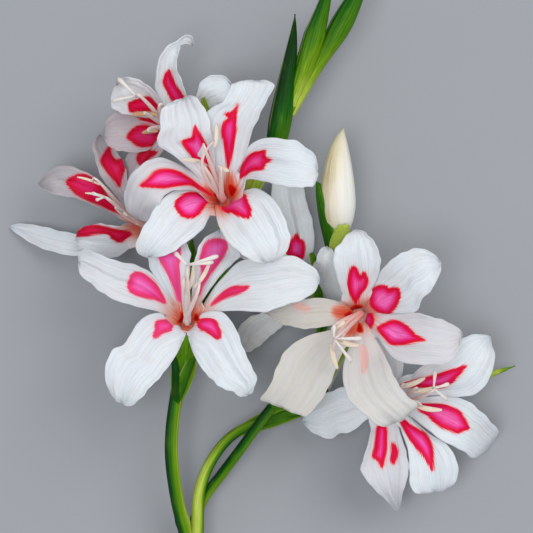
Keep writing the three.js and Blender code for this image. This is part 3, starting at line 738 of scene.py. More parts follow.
def add_branch(piece, start, end, thick):
    """A branch of the stigma: a thread that widens to a curled, flattened end."""
    t = np.linspace(0, 1, STIGMA_RINGS)
    curl = np.array([0, 0, 1.0]) * np.linalg.norm(end - start) * STIGMA_CURL
    centres = start + (end - start) * t[:, None] + curl * (np.sin(math.pi * t) - 0.6 * t ** 4)[:, None]
    angle = angles_round(THREAD_SIDES)
    spread = STIGMA_RADIUS * thick * (0.45 + 0.85 * t ** 2) * np.sqrt(1 - np.clip(t - 0.85, 0, 1) * 5)
    flat = np.sqrt((np.cos(angle) * STIGMA_FLATNESS) ** 2 + np.sin(angle) ** 2)
    add_round(piece, centres, spread[:, None] * flat[None], (0.15, 0, 0))


def add_stamens(piece, bloom):
    """The column in the throat, three stamens and the style with its branches."""
    throat = at(*bloom["throat"])
    facing = unit(bloom["facing"])
    aside = unit(np.cross(facing, (1, 0, 0)))
    around = np.cross(facing, aside)
    thick = bloom["threads"]

    def rising(order):
        turn = math.pi / 2 * order
        lean = aside * math.cos(turn) + around * math.sin(turn)
        start = throat + facing * THREAD_START + lean * (COLUMN_RADIUS - THREAD_RADIUS)
        return start, start + facing * THREAD_LEAD

    t = np.linspace(0, 1, COLUMN_RINGS)
    foot = throat - facing * COLUMN_DEPTH
    top = throat + facing * COLUMN_RISE
    radii = COLUMN_RADIUS * (1 - 0.55 * smooth_step(0.6, 1, t))[:, None] * np.ones((1, COLUMN_SIDES))
    add_round(piece, mix(foot, top, t[:, None]), radii, (0.0, 0.6, 0))
    for order, filament in enumerate(bloom["filaments"]):
        middle, start, end = (at(*point) for point in filament)
        grip = mix(start, end, ANTHER_GRIP)
        add_thread(piece, path_through(*rising(order), middle, grip), thick, bloom["pink"])
        add_anther(piece, start, end, bloom["anthers"], bloom["anther_shade"])
    bend, fork, *ends = (at(*point) for point in bloom["style"])
    style = path_through(*rising(len(bloom["filaments"])), bend, fork)
    add_thread(piece, style, thick * STYLE_THINNER, bloom["pink"])
    for end in ends:
        add_branch(piece, along(style, STYLE_FORK)[0], end, thick)


# Stalks, bracts and buds

def stalk_line(points, places):
    """The smooth curve through a stalk's points, spaced by the roots of their distances."""
    points = np.array([at(*point) for point in points])
    ends = [2 * points[0] - points[1], *points, 2 * points[-1] - points[-2]]
    line = []
    for spot in places * (len(points) - 1):
        index = min(int(spot), len(points) - 2)
        before, start, end, after = ends[index:index + 4]
        spans = (start - before, end - start, after - end)
        first, own, last = (max(np.linalg.norm(span), TINY) ** 0.5 for span in spans)
        leave = ((start - before) / first - (end - before) / (first + own) + (end - start) / own) * own
        arrive = ((end - start) / own - (after - start) / (own + last) + (after - end) / last) * own
        line.append(eased_line(start, leave, end, arrive, spot - index))
    return np.array(line)


def add_stalk(piece, stalk, seed):
    """A ridged stalk with swollen joints, yellower and lighter at its foot, partly as painted light, and with
    painted light on its sunny side.
    """
    t = np.linspace(0, 1, len(stalk["points"]) * STALK_RINGS_A_POINT)
    angle = angles_round(STALK_SIDES)
    ridges = 1 + sum(height * np.cos(count * angle + seed)[None] for height, count in RIDGES)
    swelling = 1 + UNEVEN_STALK * wavering(t, seed, UNEVEN_STALK_WAVES)[:, None]
    for joint in stalk["joints"]:
        swelling += JOINT_SWELLING * np.exp(-((t - joint) / JOINT_LENGTH) ** 2)[:, None]
    radii = mix(stalk["foot"], stalk["top"], t)[:, None] * ridges * swelling
    yellow_and_light = mix(*stalk["yellow_and_light"], smooth_step(*YELLOW_FADE, t))[:, None]

    # Painted light: the side of a stalk that faces its sunny direction is lighter.
    def tone_of(ring):
        sunny = yellow_and_light + STALK_PAINTED_SUN * (ring @ unit(stalk["sunny"]))
        return np.stack([sunny, 0 * sunny, 0 * sunny], axis=-1)

    add_round(piece, stalk_line(stalk["points"], t), radii, tone_of)


def add_bract(piece, bract, seed):
    """A green blade folded along its keel, wrapped away from its outward side."""
    bract = {**BRACT_SHAPE, **bract}
    root, belly, tip = (at(*bract[key]) for key in ("root", "belly", "tip"))
    path = path_through(root, mix(root, belly, 0.5), belly, tip)
    t = places_to_tip(BRACT_ROWS, BRACT_CROWDING, BRACT_LAST_ROW)
    directions = heading(path, t)
    sides = carried_sides(directions, np.cross(unit(bract["outward"]), directions[0]))
    faces = np.cross(directions, sides)
    half = blade_half(bract, t, BRACT_ROOT_HALF, LEAST_BRACT_HALF)[:, None, None]
    across = np.linspace(-1, 1, BRACT_COLUMNS + 1)
    wrap = (bract["cup"] * np.clip(t / CUP_START, 0, 1))[:, None] * np.abs(across)[None] ** 1.7
    ribs = BRACT_RIB * np.cos(across * BRACT_RIB_WAVES)[None] * smooth_step(0.05, 0.3, t)[:, None]
    middle = (along(path, t)[:, None] + sides[:, None] * across[None, :, None] * half
              + faces[:, None] * (wrap + ribs)[..., None])
    grid_t, grid_a = np.meshgrid(t, across, indexing="ij")
    place = np.stack([grid_a, grid_t, np.full_like(grid_a, seed)], axis=-1).reshape(-1, 3)
    thickness = mix(BRACT_BODY, BRACT_MARGIN, np.abs(across)[None] ** 2) * np.ones((BRACT_ROWS + 1, 1))
    edge = (np.abs(grid_a) ** 4).reshape(-1)
    length = grid_t.reshape(-1)
    # How light a blade is: partly its own colour and partly painted light, paler at its edges and towards its
    # tip.
    yellow_and_light = mix(BRACT_FOOT_YELLOW, bract["yellow_and_light"], smooth_step(0.02, 0.3, length))
    yellow_and_light = yellow_and_light + 0.35 * edge + 0.15 * length
    tone = np.stack([yellow_and_light, edge * smooth_step(0.05, 0.3, length), 0 * length], axis=1)
    add_sheet(piece, middle, thickness, place, lambda flat: NO_MARKS, lambda face: tone)


def bud_radius(bud, t):
    rising = mix(bud["foot_radius"], bud["radius"], swelling_rise(t, bud["widest"], bud["swell"]))
    closing = bud["radius"] * (1 - past_widest(t, bud["widest"]) ** bud["taper"])
    return np.where(t < bud["widest"], rising, np.maximum(closing, BUD_TIP_RADIUS))


def add_bud(piece, bud):
    """A spindle of wrapped blades: each edge shows as a step that winds up the bud."""
    foot, middle, tip = (at(*bud[key]) for key in ("foot", "middle", "tip"))
    path = path_through(foot, mix(foot, middle, 0.5), middle, tip)
    t = np.linspace(0, 1, BUD_RINGS)
    angle = angles_round(BUD_SIDES)
    turned = (angle[None] + bud["twist"] * t[:, None] + bud["start"]) * bud["folds"] / (2 * math.pi)
    share = turned - np.floor(turned)
    step = bud["step"] * (smooth_step(0, BUD_STEP_RISE, share) - share)
    step = step * smooth_step(0.0, 0.25, t)[:, None]
    radii = bud_radius(bud, t)[:, None] * (1 + step)
    seam = np.exp(-(np.minimum(share, 1 - share) / SEAM_WIDTH) ** 2) * smooth_step(0.1, 0.3, t)[:, None]

    def tone_of(ring):
        # Painted light: the side toward the sun is lighter; the bud is darker towards its tip.
        sunny = bud["tone"] + BUD_PAINTED_SUN * (ring @ unit(PAINTED_SUN_SIDE))
        sunny -= BUD_TIP_SHADE * smooth_step(0.4, 1, t)[:, None]
        sunny += bud["pale_foot"] * (1 - smooth_step(0.05, 0.6, t))[:, None]
        return np.stack([sunny, seam, np.broadcast_to(t[:, None], sunny.shape)], axis=-1)

    add_round(piece, along(path, t), radii, tone_of)


# Materials

def paint(red, green, blue):
    """A colour read off the photo, as the shader needs it."""
    return tuple(((v / 255 + 0.055) / 1.055) ** 2.4 if v > 10 else v / 255 / 12.92
                 for v in (red, green, blue)) + (1.0,)


def grey(level):
    return level, level, level, 1.0


def feed(tree, socket, value):
    """Links a socket to another one, or gives it a plain value."""
    if isinstance(value, bpy.types.NodeSocket):
        tree.links.new(value, socket)
    else:
        socket.default_value = value


def node(tree, kind, inputs=None, **settings):
    made = tree.nodes.new("ShaderNode" + kind)
    for key, value in settings.items():
        setattr(made, key, value)
    for key, value in (inputs or {}).items():
        feed(tree, made.inputs[key], value)
    return made


def math_node(tree, operation, first, second):
    return node(tree, "Math", {0: first, 1: second}, operation=operation).outputs[0]


def times(tree, first, second):
    return math_node(tree, "MULTIPLY", first, second)


def plus(tree, first, second):
    return math_node(tree, "ADD", first, second)


def swing(tree, pattern, size):
    """A pattern as a swing to both sides of zero."""
    return times(tree, math_node(tree, "SUBTRACT", pattern, 0.5), size)


def blend_colours(tree, share, first, second):
    made = node(tree, "Mix", data_type="RGBA")
    for key, value in ((0, share), (6, first), (7, second)):
        feed(tree, made.inputs[key], value)
    return made.outputs[2]


def between(tree, value, low, high, first=0.0, last=1.0):
    """A value's place between low and high, eased."""
    inputs = {0: value, 1: low, 2: high, 3: first, 4: last}
    return node(tree, "MapRange", inputs, interpolation_type="SMOOTHSTEP").outputs[0]


def stain(tree, skin, pattern, low, high, most, colour):
    """Tints a skin where a pattern is strong."""
    return blend_colours(tree, between(tree, pattern, low, high, 0.0, most), skin, paint(*colour))


def ramp(tree, value, stops):
    """A colour band with (position, colour) stops."""
    made = node(tree, "ValToRGB", {0: value})
    band = made.color_ramp
    while len(band.elements) > 1:
        band.elements.remove(band.elements[-1])
    band.elements[0].position, band.elements[0].color = stops[0]
    for position, colour in stops[1:]:
        band.elements.new(position).color = colour
    return made.outputs[0]


def painted_ramp(tree, value, stops):
    return ramp(tree, value, [(position, paint(*colour)) for position, colour in stops])


def attribute(tree, name):
    """An attribute of the mesh, as a vector."""
    return node(tree, "Attribute", attribute_name=name).outputs["Vector"]


def parts_of(tree, vector):
    return node(tree, "SeparateXYZ", {0: vector}).outputs


def new_group(name, inputs, outputs):
    group = bpy.data.node_groups.new(name, "ShaderNodeTree")
    for label, kind, value in inputs:
        socket = group.interface.new_socket(label, in_out="INPUT", socket_type=kind)
        socket.default_value = value
    for label, kind in outputs:
        group.interface.new_socket(label, in_out="OUTPUT", socket_type=kind)
    return group, group.nodes.new("NodeGroupInput").outputs, group.nodes.new("NodeGroupOutput").inputs


def streaks_group():
    """Long streaks that follow a blade from root to tip, and soft blotches."""
    group, given, wanted = new_group(
        "long_streaks",
        [("Lines", "NodeSocketFloat", 14.0), ("Length", "NodeSocketFloat", 2.0)],
        [("Streaks", "NodeSocketFloat"), ("Fine", "NodeSocketFloat"), ("Blotches", "NodeSocketFloat")],
    )
    across, length, pattern = parts_of(group, attribute(group, "place"))
    crosswise = times(group, across, given["Lines"])
    lengthwise = times(group, length, given["Length"])
    apart = times(group, pattern, 5.0)
    spot = node(group, "CombineXYZ", {0: crosswise, 1: lengthwise, 2: apart}).outputs[0]
    coarse = node(group, "TexNoise", {"Vector": spot, "Scale": 1.0, "Detail": 2.0, "Roughness": 0.5})
    fine = node(group, "TexNoise", {"Vector": spot, "Scale": 2.7, "Detail": 3.0, "Roughness": 0.6})
    where = node(group, "TexCoord").outputs["Object"]
    blotch = node(group, "TexNoise", {"Vector": where, "Scale": 130.0, "Detail": 3.0, "Roughness": 0.55})
    group.links.new(coarse.outputs["Fac"], wanted["Streaks"])
    group.links.new(fine.outputs["Fac"], wanted["Fine"])
    group.links.new(blotch.outputs["Fac"], wanted["Blotches"])
    return group


def streaks(tree, lines, length):
    """The shared pattern, with its number of lines across a blade and of changes along it."""
    made = tree.nodes.new("ShaderNodeGroup")
    made.node_tree = STREAKS
    made.inputs["Lines"].default_value = lines
    made.inputs["Length"].default_value = length
    return made.outputs


def new_material(name):
    material = bpy.data.materials.new(name)
    material.use_nodes = True
    tree = material.node_tree
    tree.nodes.clear()
    output = tree.nodes.new("ShaderNodeOutputMaterial")
    shader = tree.nodes.new("ShaderNodeBsdfPrincipled")
    tree.links.new(shader.outputs[0], output.inputs[0])
    return material, tree, shader


def set_skin(shader, roughness, specular, subsurface, radius):
    shader.inputs["Roughness"].default_value = roughness
    shader.inputs["Specular IOR Level"].default_value = specular
    shader.inputs["Subsurface Weight"].default_value = subsurface
    shader.inputs["Subsurface Radius"].default_value = radius
    shader.inputs["Subsurface Scale"].default_value = 1.0


def add_ridges(tree, shader, lines, broad, fine, depth, strength):
    """Bump along the streaks: the shares of the broad and the fine ones, and the depth in metres."""
    height = times(tree, lines["Fine"], fine)
    if broad:
        height = plus(tree, times(tree, lines["Streaks"], broad), height)
    bump = node(tree, "Bump", {"Height": height, "Distance": depth, "Strength": strength})
    tree.links.new(bump.outputs[0], shader.inputs["Normal"])


def full_inside(tree, inner, outer_share):
    """Full strength on the inner face of a petal, less on its back."""
    return node(tree, "MapRange", {0: inner, 1: 0.0, 2: 1.0, 3: outer_share, 4: 1.0}).outputs[0]


def white_skin(tree, lines, shade):
    """White with faint grey veins; painted shade turns it beige, greyish pink or beyond that grey."""
    white = blend_colours(tree, between(tree, shade, 0.0, 1.0), paint(226, 232, 236), paint(204, 197, 184))
    white = blend_colours(tree, between(tree, shade, 0.0, -1.0), white, paint(196, 180, 184))
    white = blend_colours(tree, between(tree, shade, -1.0, -2.0), white, paint(164, 160, 162))
    white = stain(tree, white, lines["Streaks"], 0.40, 0.70, 0.30, (198, 204, 216))
    white = stain(tree, white, lines["Fine"], 0.49, 0.62, 0.36, (182, 188, 204))
    return stain(tree, white, lines["Blotches"], 0.45, 0.72, 0.3, (214, 206, 204))


def throat_glow(tree, skin, lines, near, inner):
    """The throat glows salmon, fades outwards along the veins and has thin red lines."""
    reach = plus(tree, near, swing(tree, lines["Streaks"], 0.6))
    glow = painted_ramp(tree, reach, [
        (0.0, (200, 36, 18)), (0.18, (212, 88, 62)), (0.4, (216, 144, 124)), (0.75, (222, 192, 182)),
        (1.0, (228, 218, 216)),
    ])
    share = times(tree, between(tree, reach, 1.0, 0.25), full_inside(tree, inner, 0.45))
    skin = blend_colours(tree, share, skin, glow)
    red = times(tree, between(tree, lines["Fine"], 0.54, 0.66), between(tree, reach, 0.75, 0.3))
    red = times(tree, red, full_inside(tree, inner, 0.0))
    return blend_colours(tree, times(tree, red, 0.35), skin, paint(196, 44, 34))


def painted_flames(tree, skin, lines, depth, flame_shade_and_tint, inner):
    """Flames by their depth inside the outline: a salmon halo, a red rim and a magenta heart."""
    level = node(tree, "MapRange", {0: depth, 1: -2.0, 2: 4.0}).outputs[0]
    bright = painted_ramp(tree, level, [
        (0.0, (246, 196, 184)), (0.24, (244, 128, 116)), (0.305, (236, 14, 36)), (0.43, (224, 0, 30)),
        (0.53, (238, 20, 96)), (0.67, (248, 70, 162)), (0.88, (255, 126, 206)),
    ])
    # The dark flames are partly their own darker red and partly painted shade, for blooms that lie in shade.
    dark = painted_ramp(tree, level, [
        (0.0, (212, 132, 124)), (0.24, (206, 70, 62)), (0.305, (188, 0, 8)), (0.44, (188, 0, 10)),
        (0.54, (202, 2, 40)), (0.68, (214, 10, 74)), (0.88, (226, 36, 104)),
    ])
    flame = blend_colours(tree, between(tree, flame_shade_and_tint, 0.0, 1.0), bright, dark)
    flame = stain(tree, flame, lines["Fine"], 0.45, 0.58, 0.6, (214, 6, 84))
    flame = blend_colours(tree, between(tree, flame_shade_and_tint, 0.0, -0.5, 0.0, 0.6), flame, paint(252, 118, 196))
    faint = between(tree, flame_shade_and_tint, -0.6, -1.0)
    flame = blend_colours(tree, faint, flame, paint(240, 160, 150))
    share = ramp(tree, level, [
        (0.0, grey(0)), (0.13, grey(0.04)), (0.25, grey(0.25)), (0.3, grey(0.92)), (0.33, grey(1)),
    ])
    shown = times(tree, share, full_inside(tree, inner, 0.3))
    shown = times(tree, shown, math_node(tree, "SUBTRACT", 1.0, times(tree, faint, 0.45)))
    return blend_colours(tree, shown, skin, flame)


def throat_spots(tree, skin, depth, inner):
    """Deep red spots and lines in the throat, orange at their edges."""
    spot = blend_colours(tree, between(tree, depth, -0.4, 0.5), paint(222, 84, 40), paint(186, 4, 8))
    shown = times(tree, between(tree, depth, -0.7, 0.1), full_inside(tree, inner, 0.0))
    return blend_colours(tree, shown, skin, spot)


def petal_material():
    material, tree, shader = new_material("petal_skin")
    lines = streaks(tree, 19.0, 1.3)
    flame_depth, spot_depth, near = parts_of(tree, attribute(tree, "marks"))
    shade, flame_shade_and_tint, inner = parts_of(tree, attribute(tree, "tone"))
    skin = white_skin(tree, lines, shade)
    skin = throat_glow(tree, skin, lines, near, inner)
    jag = swing(tree, lines["Fine"], 2.6)
    skin = painted_flames(tree, skin, lines, plus(tree, flame_depth, jag), flame_shade_and_tint, inner)
    skin = throat_spots(tree, skin, plus(tree, spot_depth, times(tree, jag, 0.5)), inner)
    tree.links.new(skin, shader.inputs["Base Color"])
    add_ridges(tree, shader, lines, broad=0.8, fine=0.6, depth=0.0005, strength=0.5)
    set_skin(shader, roughness=0.5, specular=0.14, subsurface=0.15, radius=(0.0016, 0.0011, 0.001))
    return material


def stamen_material():
    material, tree, shader = new_material("stamen_skin")
    lines = streaks(tree, 3.0, 12.0)
    anther, pink, anther_shade = parts_of(tree, attribute(tree, "tone"))
    # Brownish pollen where a bloom's anthers lie in shade: painted shade.
    pollen = blend_colours(tree, anther_shade, paint(244, 230, 210), paint(206, 160, 122))
    thread = blend_colours(tree, pink, paint(246, 240, 238), paint(242, 140, 128))
    skin = blend_colours(tree, anther, thread, pollen)
    skin = stain(tree, skin, lines["Fine"], 0.4, 0.7, 0.25, (222, 190, 160))
    tree.links.new(skin, shader.inputs["Base Color"])
    add_ridges(tree, shader, lines, broad=0.0, fine=1.0, depth=0.0004, strength=0.6)
    set_skin(shader, roughness=0.55, specular=0.3, subsurface=0.25, radius=(0.0015, 0.001, 0.0008))
    return material


def bud_material():
    material, tree, shader = new_material("bud_skin")
    lines = streaks(tree, 7.0, 2.2)
    sunny, seam, length = parts_of(tree, attribute(tree, "tone"))
    skin = painted_ramp(tree, length, [
        (0.0, (180, 184, 96)), (0.1, (212, 200, 144)), (0.35, (214, 194, 146)), (0.85, (224, 214, 178)),
        (1.0, (216, 202, 156)),
    ])
    # The side toward the sun turns white: painted light.
    skin = blend_colours(tree, between(tree, sunny, 0.2, 0.55), skin, paint(240, 240, 236))
    skin = stain(tree, skin, lines["Streaks"], 0.38, 0.68, 0.22, (214, 202, 164))
    skin = stain(tree, skin, lines["Blotches"], 0.4, 0.7, 0.3, (238, 234, 228))
    skin = blend_colours(tree, times(tree, seam, 0.5), skin, paint(246, 244, 240))
    tree.links.new(skin, shader.inputs["Base Color"])
    add_ridges(tree, shader, lines, broad=1.0, fine=0.4, depth=0.0007, strength=0.6)
    set_skin(shader, roughness=0.42, specular=0.4, subsurface=0.3, radius=(0.003, 0.002, 0.0012))
    return material


def stalk_material():
    material, tree, shader = new_material("stalk_skin")
    lines = streaks(tree, 9.0, 5.0)
    yellow_and_light, edge = parts_of(tree, attribute(tree, "tone"))[:2]
    # The dark end stands partly for painted shade, the light end partly for a painted highlight.
    skin = painted_ramp(tree, plus(tree, yellow_and_light, swing(tree, lines["Streaks"], 0.5)), [
        (0.0, (2, 44, 2)), (0.3, (12, 84, 2)), (0.55, (70, 122, 2)), (0.8, (122, 158, 16)),
        (1.0, (190, 208, 84)),
    ])
    skin = stain(tree, skin, lines["Fine"], 0.4, 0.7, 0.35, (14, 76, 4))
    skin = stain(tree, skin, lines["Blotches"], 0.5, 0.75, 0.2, (96, 138, 24))
    skin = stain(tree, skin, edge, 0.5, 1.0, 0.6, (176, 192, 110))
    tree.links.new(skin, shader.inputs["Base Color"])
    add_ridges(tree, shader, lines, broad=1.0, fine=0.5, depth=0.0006, strength=0.6)
    set_skin(shader, roughness=0.45, specular=0.14, subsurface=0.05, radius=(0.001, 0.0016, 0.0004))
    tree.links.new(between(tree, lines["Blotches"], 0.3, 0.7, 0.38, 0.52), shader.inputs["Roughness"])
    return material


def floor_material():
    material, tree, shader = new_material("pale_floor")
    where = node(tree, "TexCoord").outputs["Object"]
    haze = node(tree, "TexNoise", {"Vector": where, "Scale": 9.0, "Detail": 2.0}).outputs["Fac"]
    colour = blend_colours(tree, haze, paint(156, 159, 164), paint(160, 163, 168))
    tree.links.new(colour, shader.inputs["Base Color"])
    shader.inputs["Roughness"].default_value = 0.8
    shader.inputs["Specular IOR Level"].default_value = 0.1
    return material


STREAKS = streaks_group()

